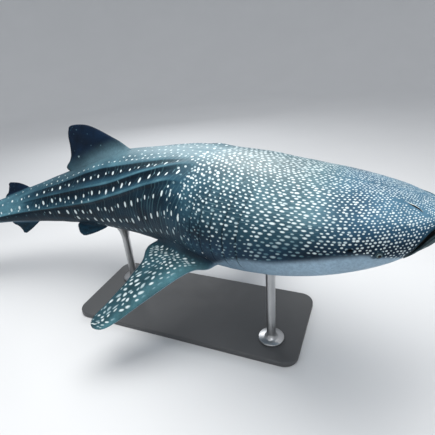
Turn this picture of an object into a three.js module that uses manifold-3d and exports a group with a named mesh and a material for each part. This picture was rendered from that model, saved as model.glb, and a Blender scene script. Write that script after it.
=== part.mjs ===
// Whale shark, life size, on a plain display stand
import * as THREE from 'three';
import { mergeVertices } from 'three/addons/utils/BufferGeometryUtils.js';
import Module from 'manifold-3d';

const wasm = await Module();
wasm.setup();

// Driving dimensions in millimetres and degrees
const TOTAL_LENGTH = 8000;
const NOSE_UP = 8;
const SHOULDER = 0.3;
const SHOULDER_HEIGHT = 1640;
const SHOULDER_X = 340;
const GAP = 0.3;

// Stations along the animal are fractions of the total length, from the snout
// Heading of the body axis at each station, in degrees to the animal's left
const HEADING = [
  [0, 13.5], [0.12, -5.6], [0.24, -22.7], [0.36, -15.5], [0.5, 1.9],
  [0.65, 16.2], [0.8, 29.4], [0.9, 34], [1, 36],
];

// Body sections: station, top, bottom and half width over the length, fullness
const NOSE = 0.01;
const SECTIONS = [
  [NOSE, 0.014, 0.007, 0.0335, 2.1],
  [0.03, 0.0235, 0.0164, 0.0564, 2.3],
  [0.06, 0.0352, 0.034, 0.0682, 2.4],
  [0.1, 0.0468, 0.0457, 0.0802, 2.35],
  [0.16, 0.0603, 0.0575, 0.0885, 2.28],
  [0.24, 0.0728, 0.0667, 0.089, 2.16],
  [0.34, 0.0765, 0.0655, 0.0783, 2.1],
  [0.45, 0.0761, 0.0572, 0.0651, 2.1],
  [0.56, 0.0541, 0.0418, 0.0479, 2.05],
  [0.68, 0.0301, 0.0265, 0.0317, 1.9],
  [0.74, 0.0202, 0.0195, 0.028, 1.7],
  [0.8, 0.0159, 0.0162, 0.0248, 1.6],
];

// Ridges of each flank: angle up the side at each station, and height
const RIDGE_WIDTH = 4.2;
const RIDGES = [
  {
    angle: [[0, 8], [0.18, 25], [0.27, 48], [0.334, 38], [0.413, 23], [0.498, 12], [0.587, 7],
      [0.68, 4], [0.8, 0]],
    height: [[0.25, 0], [0.31, 26], [0.6, 30], [0.7, 42], [0.8, 46]],
  },
  {
    angle: [[0, 34], [0.18, 50], [0.26, 68], [0.312, 59], [0.346, 52], [0.482, 31], [0.612, 32],
      [0.8, 36]],
    height: [[0.24, 0], [0.3, 26], [0.58, 24], [0.68, 0]],
  },
  {
    angle: [[0, 62], [0.18, 70], [0.255, 81], [0.298, 71], [0.357, 63], [0.484, 53], [0.56, 53],
      [0.8, 60]],
    height: [[0.26, 0], [0.34, 22], [0.52, 22], [0.6, 0]],
  },
];

// Gill slits: station of each at mid flank, the angles it spans, and how its flap stands over it
const GILL_SLITS = [0.17, 0.1845, 0.199, 0.2135, 0.228];
const GILL_TOP = [62, 66, 64, 56, 46];
const GILL_BOTTOM = [-22, -34, -40, -30, -18];
const GILL_LEAN = [[-60, 0.3], [-42, 0.55], [-16, 1], [10, 0.6], [40, 0.08], [60, 0]];
const GILL_SWEEP = 0.009;
const GILL_FADE = 16;
const GILL_FRONT = [0.15, 0.166];
const GILL_BACK = [0.236, 0.27];
const FLAP_RISE = 11;
const SLIT_DEPTH = 20;
const SLIT_WIDTH = 0.0022;
const FLAP_LENGTH = 0.0085;

// Cuts between the lengths of the body
const NECK = 0.15;
const CHEST = 0.33;
const WAIST = 0.45;
const HIP = 0.625;
const TAIL_ROOT = 0.79;

// Head
const EYE = { at: 0.066, up: -5, radius: 27, sunk: 12 };
const EYELID = { radius: 27, thickness: 6.5, sunk: 4 };
const SPIRACLE = { at: 0.086, up: 3, size: [30, 20] };
const NOSTRIL = { at: 0.017, height: 0.0098, size: [34, 13] };
const PIT_DEPTH = 1.4;
const BARBEL = { ahead: 0.0022, below: 4, sunk: 8, length: 46, radius: 11, tip: 4 };

// Mouth: corner, and the height of the upper and the lower lip at each station
const MOUTH_CORNER = 0.0495;
const LIP_LINE = [
  [0.0495, -0.0165, -0.0166],
  [0.044, -0.0084, -0.0122],
  [0.037, 0.0014, -0.0042],
  [0.027, 0.0082, 0.0034],
  [0.012, 0.0083, 0.0045],
  [0.004, 0.0054, 0.0022],
];
const LIP_STATIONS = [0.048, 0.044, 0.038, 0.031, 0.025, 0.018, 0.011, 0.006];
const LIP_FRONT = 0.0022;
const LIP_RADIUS = 17;
const LIP_OUT = 0.25;
const LIP_RISE = 0.7;
const LIP_CORNER = 0.45;
const MOUTH_FRAME = 0.035;
const JAW_CUT = { wide: 0.104, ahead: 0.02, below: -0.06, lean: 0.6 };

// Fins, as outlines over the bent body: station and height over the length
const FIRST_DORSAL = {
  leading: [[0.424, 0.066], [0.4467, 0.0877], [0.4667, 0.101], [0.4898, 0.1157], [0.5062, 0.1232],
    [0.5238, 0.1262], [0.535, 0.1262]],
  trailing: [[0.561, 0.046], [0.5735, 0.0578], [0.5615, 0.0705], [0.5541, 0.084],
    [0.5485, 0.108], [0.5445, 0.1185], [0.5397, 0.1247]],
  root: 62,
  tip: 9,
};
const SECOND_DORSAL = {
  leading: [[0.652, 0.026], [0.6615, 0.0375], [0.6754, 0.0464], [0.6904, 0.0502]],
  trailing: [[0.694, 0.018], [0.7114, 0.0243], [0.7012, 0.0345], [0.6945, 0.0484]],
  root: 26,
  tip: 6,
};
const ANAL = {
  leading: [[0.658, -0.02], [0.6676, -0.0312], [0.6866, -0.043], [0.703, -0.0508]],
  trailing: [[0.702, -0.017], [0.72, -0.0245], [0.7108, -0.0362], [0.7075, -0.0492]],
  root: 24,
  tip: 6,
};
const CAUDAL_UPPER = {
  leading: [[0.787, -0.004], [0.8, 0.0165], [0.84, 0.054], [0.885, 0.096], [0.93, 0.135],
    [0.972, 0.164], [0.99, 0.171]],
  trailing: [[0.874, -0.004], [0.88, 0.012], [0.897, 0.042], [0.922, 0.082], [0.95, 0.12],
    [0.98, 0.154], [0.996, 0.17]],
  root: 92,
  tip: 8,
};
const CAUDAL_LOWER = {
  leading: [[0.787, 0.004], [0.803, -0.018], [0.828, -0.048], [0.856, -0.084], [0.877, -0.111]],
  trailing: [[0.874, 0.004], [0.872, -0.012], [0.874, -0.04], [0.882, -0.078], [0.887, -0.113]],
  root: 84,
  tip: 8,
};

// Run of the tail stalk into the tail fin, over the length
const STALK_REACH = 0.078;
const STALK_RISE = 0.012;
const STALK_STEPS = 7;

// Paired fins, as outlines in their own plane: forward and outward over the length
const PECTORAL = {
  at: 0.25,
  droop: 30,
  out: 0.85,
  down: 0.6,
  leading: [[0.034, -0.03], [0.027, 0.005], [0.004, 0.016], [-0.012, 0.031], [-0.031, 0.057],
    [-0.052, 0.088], [-0.068, 0.113], [-0.083, 0.131], [-0.099, 0.1405]],
  trailing: [[-0.062, -0.03], [-0.1, 0.001], [-0.1045, 0.014], [-0.098, 0.03], [-0.1, 0.05],
    [-0.104, 0.074], [-0.112, 0.104], [-0.1205, 0.127], [-0.1165, 0.14]],
  root: 84,
  tip: 9,
};
const PELVIC = {
  at: 0.54,
  droop: 45,
  out: 0.6,
  down: 0.8,
  leading: [[0.036, -0.016], [0.034, 0.006], [0.02, 0.014], [0.004, 0.019], [-0.008, 0.0212]],
  trailing: [[-0.016, -0.016], [-0.028, -0.001], [-0.026, 0.008], [-0.0205, 0.016],
    [-0.0125, 0.0208]],
  root: 24,
  tip: 6,
};

// Stand
const BASE_SIZE = [3000, 1250, 70];
const BASE_CORNER = 160;
const BASE_BEVEL = 12;
const ROD_STATIONS = [0.2, 0.5];
const ROD_RADIUS = 52;
const FOOT_RADIUS = 150;
const FOOT_THICKNESS = 26;
const SADDLE_RADIUS = 125;
const SADDLE_HEIGHT = 240;

// Finish of each piece
const BACK = { color: 0x56696c, roughness: 0.55, metalness: 0 };
const FIN = { color: 0x2c4350, roughness: 0.5, metalness: 0 };
const JAW = { color: 0xc3ccc8, roughness: 0.5, metalness: 0 };
const EYEBALL = { color: 0x11151a, roughness: 0.12, metalness: 0 };
const PLATE = { color: 0x3a3d40, roughness: 0.5, metalness: 0.3 };
const STEEL = { color: 0x9a9da0, roughness: 0.35, metalness: 0.9 };

const mm = (fraction) => fraction * TOTAL_LENGTH;
const rad = THREE.MathUtils.degToRad;
const smooth = THREE.MathUtils.smoothstep;

// A smooth curve through [x, y] knots that never overshoots them
function through(knots) {
  const x = knots.map((knot) => knot[0]);
  const y = knots.map((knot) => knot[1]);
  const last = x.length - 1;
  const rise = x.slice(1).map((value, k) => (y[k + 1] - y[k]) / (value - x[k]));
  const end = (near, next) => (near * next <= 0 ? 0 : near);
  const slope = x.map((value, k) => {
    if (k === 0) return end(rise[0], rise[Math.min(1, last - 1)]);
    if (k === last) return end(rise[last - 1], rise[Math.max(0, last - 2)]);
    if (rise[k - 1] * rise[k] <= 0) return 0;
    return (2 * rise[k - 1] * rise[k]) / (rise[k - 1] + rise[k]);
  });
  return (at) => {
    if (at <= x[0]) return y[0];
    if (at >= x[last]) return y[last];
    let k = 0;
    while (at > x[k + 1]) k += 1;
    const step = x[k + 1] - x[k];
    const t = (at - x[k]) / step;
    const u = 1 - t;
    return y[k] * u * u * (1 + 2 * t) + y[k + 1] * t * t * (3 - 2 * t)
      + slope[k] * step * t * u * u - slope[k + 1] * step * t * t * u;
  };
}

// Body axis: positions found by walking back along the heading
const heading = through(HEADING);
const AXIS_STEPS = 1000;
const axisPoints = [new THREE.Vector3()];
for (let k = 0; k < AXIS_STEPS; k += 1) {
  const turn = rad(heading((k + 0.5) / AXIS_STEPS));
  const step = new THREE.Vector3(-Math.cos(turn), -Math.sin(turn), 0);
  axisPoints.push(axisPoints[k].clone().addScaledVector(step, mm(1 / AXIS_STEPS)));
}

function axisAt(at) {
  const place = Math.min(Math.max(at, 0), 1) * AXIS_STEPS;
  const k = Math.min(Math.floor(place), AXIS_STEPS - 1);
  return axisPoints[k].clone().lerp(axisPoints[k + 1], place - k);
}

const shoulderPoint = axisAt(SHOULDER);
const tilt = new THREE.Matrix4().makeRotationY(-rad(NOSE_UP));
const animalToWorld = new THREE.Matrix4()
  .makeTranslation(SHOULDER_X, 0, SHOULDER_HEIGHT)
  .multiply(tilt)
  .multiply(new THREE.Matrix4().makeTranslation(-shoulderPoint.x, -shoulderPoint.y, 0));

// Frame of the axis at a station: forward, left and up
function frameAt(at) {
  const turn = rad(heading(at));
  return {
    origin: axisAt(at),
    forward: new THREE.Vector3(Math.cos(turn), Math.sin(turn), 0),
    left: new THREE.Vector3(-Math.sin(turn), Math.cos(turn), 0),
    up: new THREE.Vector3(0, 0, 1),
  };
}

// A point ahead of, left of and above the axis at a station, in the world
function bodyPoint(at, left, up, forward = 0) {
  const frame = frameAt(at);
  return frame.origin
    .addScaledVector(frame.left, left)
    .addScaledVector(frame.up, up)
    .addScaledVector(frame.forward, forward)
    .applyMatrix4(animalToWorld);
}

// Section of the body at a station, in millimetres
const column = (index) => through(SECTIONS.map((row) => [row[0], row[index]]));
const topCurve = column(1);
const bottomCurve = column(2);
const widthCurve = column(3);
const fullnessCurve = column(4);

function sectionAt(at) {
  const cap = at < NOSE ? Math.sqrt(at / NOSE) : 1;
  return {
    top: mm(topCurve(at)) * cap,
    bottom: mm(bottomCurve(at)) * cap,
    half: mm(widthCurve(at)) * cap,
    power: 2 / fullnessCurve(at),
  };
}

const ridgeAngles = RIDGES.map((ridge) => through(ridge.angle));
const ridgeHeights = RIDGES.map((ridge) => through(ridge.height));

// Angles up one side at which a ring has its vertices, with each ridge's crest
const SPANS = [9, 1, 1, 2, 1, 1, 2, 1, 1, 2];

function ringAngles(at) {
  const marks = [-90];
  for (const angle of ridgeAngles) {
    const crest = angle(at);
    marks.push(crest - RIDGE_WIDTH, crest, crest + RIDGE_WIDTH);
  }
  marks.push(90);
  const angles = [-90];
  SPANS.forEach((count, k) => {
    for (let i = 1; i <= count; i += 1) {
      angles.push(THREE.MathUtils.lerp(marks[k], marks[k + 1], i / count));
    }
  });
  return angles;
}

function ridgeLift(at, angle) {
  let lift = 0;
  ridgeAngles.forEach((crest, k) => {
    const off = Math.abs(angle - crest(at)) / RIDGE_WIDTH;
    lift += ridgeHeights[k](at) * Math.max(0, 1 - off);
  });
  return lift;
}

// How far back a gill slit leans at an angle up the side
const gillLean = through(GILL_LEAN);
const gillZone = (at) => smooth(at, ...GILL_FRONT) * (1 - smooth(at, ...GILL_BACK));

function gillLift(at, angle) {
  let lift = 0;
  GILL_SLITS.forEach((slit, k) => {
    const reach = smooth(angle, GILL_BOTTOM[k] - GILL_FADE, GILL_BOTTOM[k] + GILL_FADE)
      * (1 - smooth(angle, GILL_TOP[k] - GILL_FADE, GILL_TOP[k] + GILL_FADE));
    const off = at - slit;
    if (off <= -SLIT_WIDTH / 2 && off > -FLAP_LENGTH) {
      lift += reach * FLAP_RISE * ((off + FLAP_LENGTH) / (FLAP_LENGTH - SLIT_WIDTH / 2));
    } else if (off > -SLIT_WIDTH / 2 && off < SLIT_WIDTH * 2) {
      lift -= reach * SLIT_DEPTH * (1 - Math.max(0, off - SLIT_WIDTH / 2) / (SLIT_WIDTH * 1.5));
    }
  });
  return lift;
}

// A point of the skin, on the left where side is 1 and the right where it is -1
function skinPoint(at, angle, side, proud = 0) {
  const leaning = at + GILL_SWEEP * gillLean(angle) * gillZone(at);
  const section = sectionAt(leaning);
  const lift = proud + ridgeLift(leaning, angle) + gillLift(at, angle);
  const cosine = Math.max(Math.cos(rad(angle)), 0);
  const sine = Math.sin(rad(angle));
  const height = sine >= 0 ? section.top : section.bottom;
  const out = cosine ** section.power * section.half;
  const up = Math.sign(sine) * Math.abs(sine) ** section.power * height;
  const normal = new THREE.Vector2(cosine / section.half, sine / height).normalize();
  return bodyPoint(leaning, side * (out + normal.x * lift), up + normal.y * lift);
}

// Angle up the side at which the skin has a given height over the axis
function angleOfHeight(at, height) {
  const section = sectionAt(at);
  const reach = height >= 0 ? section.top : section.bottom;
  const share = Math.min(Math.abs(height) / reach, 0.97) ** (1 / section.power);
  return Math.sign(height) * THREE.MathUtils.radToDeg(Math.asin(share));
}

// Closed mesh from points and triangles
function meshOf(points, triangles) {
  const geometry = new THREE.BufferGeometry();
  const numbers = points.flatMap((point) => point.toArray());
  geometry.setAttribute('position', new THREE.Float32BufferAttribute(numbers, 3));
  geometry.setIndex(triangles);
  return geometry;
}

// Skin over rings of equal size, closed at each end by a fan on a point
function skinOver(rings, first, last) {
  const count = rings[0].length;
  const points = rings.flat();
  const triangles = [];
  for (let r = 0; r < rings.length - 1; r += 1) {
    for (let c = 0; c < count; c += 1) {
      const a = r * count + c;
      const b = r * count + ((c + 1) % count);
      triangles.push(a, b, b + count, a, b + count, a + count);
    }
  }
  const foot = points.push(first) - 1;
  const head = points.push(last) - 1;
  const top = (rings.length - 1) * count;
  for (let c = 0; c < count; c += 1) {
    const next = (c + 1) % count;
    triangles.push(foot, next, c, head, top + c, top + next);
  }
  return meshOf(points, triangles);
}

// Stations at which the body has rings
const plainStations = [0.0012, 0.0045, 0.01, 0.018, 0.028, 0.04, 0.054, 0.07, 0.088, 0.106, 0.128,
  NECK, 0.16, 0.25, 0.27, 0.29, 0.31, CHEST, 0.355, 0.38, 0.415, WAIST, 0.48, 0.51, 0.54, 0.57,
  0.6, HIP, 0.65, 0.68, 0.71, 0.74, 0.765, TAIL_ROOT];
const gillStations = GILL_SLITS.flatMap((slit) => [slit - FLAP_LENGTH, slit - SLIT_WIDTH / 2,
  slit + SLIT_WIDTH / 2, slit + SLIT_WIDTH * 2]);
const stations = [...plainStations, ...gillStations].sort((a, b) => a - b);

function ringAt(at, proud) {
  const angles = ringAngles(at);
  const right = angles.map((angle) => skinPoint(at, angle, -1, proud));
  const left = angles.slice(1, -1).reverse().map((angle) => skinPoint(at, angle, 1, proud));
  return [...right, ...left];
}

// One length of the body between two cuts
function bodyLength(from, to, proud = 0) {
  const within = stations.filter((at) => at > from + 1e-6 && at < to - 1e-6);
  const half = GAP / 2 / TOTAL_LENGTH;
  const ends = [from > 0 ? [from + half] : [], to < 1 ? [to - half] : []];
  const rings = [...ends[0], ...within, ...ends[1]].map((at) => ringAt(at, proud));
  const start = bodyPoint(from > 0 ? from + half : 0, 0, 0, from > 0 ? 0 : proud);
  return skinOver(rings, start, bodyPoint(to - half, 0, 0));
}

// Copy of a mesh in which faces that meet share their corners
function joined(geometry) {
  const plain = geometry.clone();
  plain.deleteAttribute('normal');
  plain.deleteAttribute('uv');
  return mergeVertices(plain, 1e-3);
}

// Solids for joining and cutting
function solidOf(geometry) {
  const merged = joined(geometry);
  return new wasm.Manifold(new wasm.Mesh({
    numProp: 3,
    vertProperties: new Float32Array(merged.attributes.position.array),
    triVerts: new Uint32Array(merged.index.array),
  }));
}

function largest(solid) {
  const pieces = solid.decompose();
  return pieces.reduce((best, piece) => (piece.volume() > best.volume() ? piece : best));
}

function geometryOf(solid) {
  const mesh = solid.getMesh();
  const geometry = new THREE.BufferGeometry();
  const corners = new Float32Array(mesh.vertProperties);
  geometry.setAttribute('position', new THREE.BufferAttribute(corners, 3));
  geometry.setIndex(new THREE.BufferAttribute(new Uint32Array(mesh.triVerts), 1));
  return geometry;
}

// Tube along a path whose radius changes, with round ends
const TUBE_END = 0.6;

function taperedTube(path, radiusAt, steps, sides) {
  const frames = path.computeFrenetFrames(steps, false);
  const rings = [];
  for (let k = 0; k <= steps; k += 1) {
    const centre = path.getPointAt(k / steps);
    rings.push(Array.from({ length: sides }, (_, c) => {
      const turn = (c / sides) * Math.PI * 2;
      return centre.clone()
        .addScaledVector(frames.normals[k], -Math.cos(turn) * radiusAt(k / steps))
        .addScaledVector(frames.binormals[k], Math.sin(turn) * radiusAt(k / steps));
    }));
  }
  const first = path.getPointAt(0).addScaledVector(frames.tangents[0], -radiusAt(0) * TUBE_END);
  const last = path.getPointAt(1).addScaledVector(frames.tangents[steps], radiusAt(1) * TUBE_END);
  return skinOver(rings, first, last);
}

// Fin sections: share of the chord, and half thickness there
const CHORD = [0, 0.05, 0.16, 0.32, 0.5, 0.68, 0.85, 1];
const foil = (share) => Math.sin(Math.PI * share ** 0.6);
const FIN_EDGE = 2;

// Fin between a leading and a trailing curve, thick across the plane given by place
function finMesh(fin, rows, place) {
  const curve = (points) => new THREE.SplineCurve(points.map((p) => new THREE.Vector2(...p)));
  const leading = curve(fin.leading);
  const trailing = curve(fin.trailing);
  const rings = [];
  for (let k = 0; k <= rows; k += 1) {
    const span = k / rows;
    const front = leading.getPoint(span);
    const back = trailing.getPoint(span);
    const thick = THREE.MathUtils.lerp(fin.root, fin.tip, span ** 0.8);
    const spot = (share, face) => {
      const point = front.clone().lerp(back, share);
      return place(point.x, point.y, face * (thick * foil(share) + FIN_EDGE * share));
    };
    const one = CHORD.map((share) => spot(share, 1));
    const other = CHORD.slice(1).reverse().map((share) => spot(share, -1));
    rings.push([...one, ...other]);
  }
  const middle = (ring) => ring[0].clone().lerp(ring[CHORD.length - 1], 0.5);
  return skinOver(rings, middle(rings[0]), middle(rings[rows]));
}

// Outward facing copy of a closed mesh
function facingOut(geometry) {
  const position = geometry.attributes.position;
  const index = Array.from(geometry.index.array);
  const corner = [0, 1, 2].map(() => new THREE.Vector3());
  let volume = 0;
  for (let t = 0; t < index.length; t += 3) {
    corner.forEach((point, k) => point.fromBufferAttribute(position, index[t + k]));
    volume += corner[0].dot(corner[1].clone().cross(corner[2]));
  }
  if (volume < 0) {
    for (let t = 0; t < index.length; t += 3) {
      [index[t], index[t + 1]] = [index[t + 1], index[t]];
    }
    geometry.setIndex(index);
  }
  return geometry;
}

const solid = (geometry) => solidOf(facingOut(geometry));

// Body with the clearance that every piece set against it keeps
const bodyClear = solid(bodyLength(0, 0.8, GAP * 1.2));

// Median fin over the bent body
function medianFin(fin, rows) {
  return solid(finMesh(fin, rows, (at, height, across) => bodyPoint(at, across, mm(height))));
}

// Paired fin in its own plane, which droops from the horizontal
function pairedFin(fin, rows, side) {
  const frame = frameAt(fin.at);
  const section = sectionAt(fin.at);
  const outward = frame.left.clone().multiplyScalar(side * Math.cos(rad(fin.droop)))
    .addScaledVector(frame.up, -Math.sin(rad(fin.droop)));
  const normal = frame.forward.clone().cross(outward).normalize();
  const root = frame.origin.clone()
    .addScaledVector(frame.left, side * section.half * fin.out)
    .addScaledVector(frame.up, -section.bottom * fin.down);
  return solid(finMesh(fin, rows, (ahead, out, across) => root.clone()
    .addScaledVector(frame.forward, mm(ahead))
    .addScaledVector(outward, mm(out))
    .addScaledVector(normal, across)
    .applyMatrix4(animalToWorld)));
}

// Prism across the head of an outline given ahead of and above the mouth corner
function headPrism(outline) {
  const frame = frameAt(MOUTH_FRAME);
  const flat = outline.map((point) => new THREE.Vector2(...point));
  if (THREE.ShapeUtils.isClockWise(flat)) flat.reverse();
  const ring = (side) => flat.map((point) => frame.origin.clone()
    .addScaledVector(frame.forward, point.x + mm(MOUTH_FRAME - MOUTH_CORNER))
    .addScaledVector(frame.up, point.y)
    .addScaledVector(frame.left, side * mm(JAW_CUT.wide))
    .applyMatrix4(animalToWorld));
  const near = ring(-1);
  const far = ring(1);
  const faces = THREE.ShapeUtils.triangulateShape(flat, []);
  const count = flat.length;
  const triangles = [];
  for (let k = 0; k < count; k += 1) {
    const next = (k + 1) % count;
    triangles.push(k, next, next + count, k, next + count, k + count);
  }
  for (const [a, b, c] of faces) {
    triangles.push(c, b, a, a + count, b + count, c + count);
  }
  return solid(meshOf([...near, ...far], triangles));
}

// Gape of the mouth, and the thin cut behind it that parts the lower jaw
function jawCut() {
  const ahead = (at) => mm(MOUTH_CORNER - at);
  const upper = LIP_LINE.map(([at, high]) => [ahead(at), mm(high)]);
  const lower = LIP_LINE.map(([at, , low]) => [ahead(at), mm(low)]);
  const front = ahead(0) + mm(JAW_CUT.ahead);
  const [, lastUpper] = upper[upper.length - 1];
  const [, lastLower] = lower[lower.length - 1];
  const below = mm(JAW_CUT.below);
  const back = (below - mm(LIP_LINE[0][2])) * JAW_CUT.lean;
  return headPrism([
    [back - GAP, below], ...upper, [front, lastUpper],
    [front, lastLower], ...lower.reverse(), [back + GAP, below],
  ]);
}

// Roll of one lip along the mouth line, from corner to corner
function lip(height, rise) {
  const line = through(LIP_LINE.map((row) => [row[0], row[height]]).reverse());
  const edge = (at) => mm(line(at)) + rise * LIP_RADIUS * LIP_RISE;
  const half = (side) => LIP_STATIONS.map((at) => (
    skinPoint(at, angleOfHeight(at, edge(at)), side, -LIP_RADIUS * LIP_OUT)));
  const middle = bodyPoint(LIP_FRONT, 0, edge(LIP_FRONT), LIP_RADIUS * TUBE_END);
  const points = [...half(-1), middle, ...half(1).reverse()];
  const path = new THREE.CatmullRomCurve3(points, false, 'centripetal');
  const swell = (share) => Math.sin(Math.PI * share) ** 0.5;
  const radiusAt = (share) => LIP_RADIUS * (LIP_CORNER + (1 - LIP_CORNER) * swell(share));
  return solid(taperedTube(path, radiusAt, 36, 8));
}

function outwardAt(at, angle, side) {
  const step = 0.002;
  const along = skinPoint(at + step, angle, side).sub(skinPoint(at - step, angle, side));
  const round = skinPoint(at, angle + 1, side).sub(skinPoint(at, angle - 1, side));
  return round.cross(along).normalize().multiplyScalar(-side);
}

function placed(geometry, at, angle, side, depth) {
  const outward = outwardAt(at, angle, side);
  const turn = new THREE.Quaternion().setFromUnitVectors(new THREE.Vector3(0, 1, 0), outward);
  const centre = skinPoint(at, angle, side).addScaledVector(outward, -depth);
  return geometry.applyQuaternion(turn).translate(centre.x, centre.y, centre.z);
}

function eyeball(side, radius) {
  return placed(new THREE.SphereGeometry(radius, 20, 12), EYE.at, EYE.up, side, EYE.sunk);
}

function eyelid(side) {
  const ring = new THREE.TorusGeometry(EYELID.radius, EYELID.thickness, 6, 20);
  ring.rotateX(Math.PI / 2);
  return placed(ring, EYE.at, EYE.up, side, EYELID.sunk);
}

function pit(at, angle, side, [length, width]) {
  const hollow = new THREE.SphereGeometry(1, 12, 8);
  hollow.scale(length, width * PIT_DEPTH, width);
  return placed(hollow, at, angle, side, 0);
}

const nostrilAngle = angleOfHeight(NOSTRIL.at, mm(NOSTRIL.height));

// Short soft feeler that hangs from the lip under each nostril
function barbel(side) {
  const outward = outwardAt(NOSTRIL.at, nostrilAngle, side);
  const at = NOSTRIL.at - BARBEL.ahead;
  const root = skinPoint(at, nostrilAngle - BARBEL.below, side, -BARBEL.sunk);
  const reach = (out, down) => root.clone()
    .addScaledVector(outward, BARBEL.length * out)
    .add(new THREE.Vector3(0, 0, -BARBEL.length * down));
  const path = new THREE.CatmullRomCurve3([root, reach(0.45, 0), reach(0.8, 0.5)]);
  const radiusAt = (share) => THREE.MathUtils.lerp(BARBEL.radius, BARBEL.tip, share);
  return solid(taperedTube(path, radiusAt, 5, 6));
}

function buildHead() {
  let whole = solid(bodyLength(0, NECK)).subtract(jawCut());
  const [larger, smaller] = whole.decompose().sort((a, b) => b.volume() - a.volume());
  whole = larger.add(lip(1, 1));
  for (const side of [-1, 1]) {
    whole = whole.add(solid(eyelid(side)))
      .add(barbel(side))
      .subtract(solid(eyeball(side, EYE.radius + GAP * 1.2)))
      .subtract(solid(pit(SPIRACLE.at, SPIRACLE.up, side, SPIRACLE.size)))
      .subtract(solid(pit(NOSTRIL.at, nostrilAngle, side, NOSTRIL.size)));
  }
  const jaw = smaller.add(lip(2, -1)).subtract(whole);
  return { head: largest(whole), jaw: largest(jaw) };
}

// Tail fin: the stalk runs on into it, thinning and turning up into the upper lobe
function caudalRoot() {
  const section = sectionAt(TAIL_ROOT);
  const angles = ringAngles(TAIL_ROOT);
  const first = TAIL_ROOT + GAP / 2 / TOTAL_LENGTH;
  const rings = [];
  for (let k = 0; k < STALK_STEPS; k += 1) {
    const share = k / STALK_STEPS;
    const thin = (1 - share) ** 1.15 * (1 + 0.35 * share);
    const low = 1 - 0.55 * share;
    const rise = mm(STALK_RISE) * share * share;
    const spot = (angle, side) => {
      const cosine = Math.max(Math.cos(rad(angle)), 0);
      const sine = Math.sin(rad(angle));
      const high = (sine >= 0 ? section.top : section.bottom) * low;
      const out = cosine ** section.power * section.half + ridgeLift(TAIL_ROOT, angle);
      return bodyPoint(first + STALK_REACH * share, side * out * thin,
        rise + Math.sign(sine) * Math.abs(sine) ** section.power * high);
    };
    const right = angles.map((angle) => spot(angle, -1));
    const left = angles.slice(1, -1).reverse().map((angle) => spot(angle, 1));
    rings.push([...right, ...left]);
  }
  const end = bodyPoint(TAIL_ROOT + STALK_REACH, 0, mm(STALK_RISE));
  return solid(skinOver(rings, bodyPoint(first, 0, 0), end));
}

// Level slab through the tail, wider and deeper than the whole tail fin
const SLAB_AT = 0.9;
const SLAB_WIDE = 0.6;
const SLAB_DEEP = 0.4;

function slab(thickness, lift) {
  const plate = new THREE.BoxGeometry(mm(SLAB_WIDE), mm(SLAB_WIDE), thickness);
  const centre = axisAt(SLAB_AT);
  return plate.translate(centre.x, centre.y, lift).applyMatrix4(animalToWorld);
}

function buildCaudal() {
  const stalkClear = solid(bodyLength(0.6, TAIL_ROOT + GAP / TOTAL_LENGTH, GAP * 1.2));
  const whole = medianFin(CAUDAL_UPPER, 16)
    .add(medianFin(CAUDAL_LOWER, 12))
    .add(caudalRoot())
    .subtract(stalkClear)
    .subtract(solid(slab(GAP, 0)));
  const deep = mm(SLAB_DEEP);
  return {
    upper: largest(whole.subtract(solid(slab(deep, -deep / 2)))),
    lower: largest(whole.subtract(solid(slab(deep, deep / 2)))),
  };
}

// Stand
function buildBase() {
  const [length, width, thick] = BASE_SIZE;
  const [x, y, r] = [length / 2 - BASE_BEVEL, width / 2 - BASE_BEVEL, BASE_CORNER];
  const outline = new THREE.Shape();
  outline.moveTo(-x + r, -y);
  outline.lineTo(x - r, -y);
  outline.absarc(x - r, -y + r, r, -Math.PI / 2, 0);
  outline.lineTo(x, y - r);
  outline.absarc(x - r, y - r, r, 0, Math.PI / 2);
  outline.lineTo(-x + r, y);
  outline.absarc(-x + r, y - r, r, Math.PI / 2, Math.PI);
  outline.lineTo(-x, -y + r);
  outline.absarc(-x + r, -y + r, r, Math.PI, Math.PI * 1.5);
  const plate = new THREE.ExtrudeGeometry(outline, {
    depth: thick - BASE_BEVEL * 2,
    bevelSize: BASE_BEVEL,
    bevelThickness: BASE_BEVEL,
    bevelSegments: 2,
    curveSegments: 8,
  });
  return plate.translate(0, 0, BASE_BEVEL);
}

// Rod with a foot on the base and a saddle that takes the shape of the belly
const FOOT_CURVE = [[1.5, 1.5], [1, 4]];
const SADDLE_CURVE = [[0.72, 0.35], [1, 0.05], [1, -1]];

function buildRod(at) {
  const foot = BASE_SIZE[2] + GAP;
  const under = bodyPoint(at, 0, -sectionAt(at).bottom);
  const top = under.z - foot;
  const profile = [
    [0, 0],
    [FOOT_RADIUS, 0],
    [FOOT_RADIUS, FOOT_THICKNESS],
    ...FOOT_CURVE.map(([out, up]) => [ROD_RADIUS * out, FOOT_THICKNESS * up]),
    [ROD_RADIUS, top - SADDLE_HEIGHT],
    ...SADDLE_CURVE.map(([out, down]) => [SADDLE_RADIUS * out, top - SADDLE_HEIGHT * down]),
    [0, top + SADDLE_HEIGHT],
  ].map(([x, y]) => new THREE.Vector2(x, y));
  const rod = new THREE.LatheGeometry(profile, 28);
  rod.rotateX(Math.PI / 2).translate(under.x, under.y, foot);
  return largest(solid(rod).subtract(bodyClear));
}

// Scene graph
const group = new THREE.Group();

function add(name, geometry, finish) {
  const material = new THREE.MeshStandardMaterial(finish);
  const mesh = new THREE.Mesh(geometry, material);
  mesh.name = name;
  group.add(mesh);
}

const { head, jaw } = buildHead();
add('head', geometryOf(head), BACK);
add('lower_jaw', geometryOf(jaw), JAW);
const lengths = [
  ['trunk_front', NECK, CHEST],
  ['trunk_middle', CHEST, WAIST],
  ['trunk_rear', WAIST, HIP],
  ['tail_stalk', HIP, TAIL_ROOT],
];
for (const [name, from, to] of lengths) {
  add(name, facingOut(bodyLength(from, to)), BACK);
}

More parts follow.
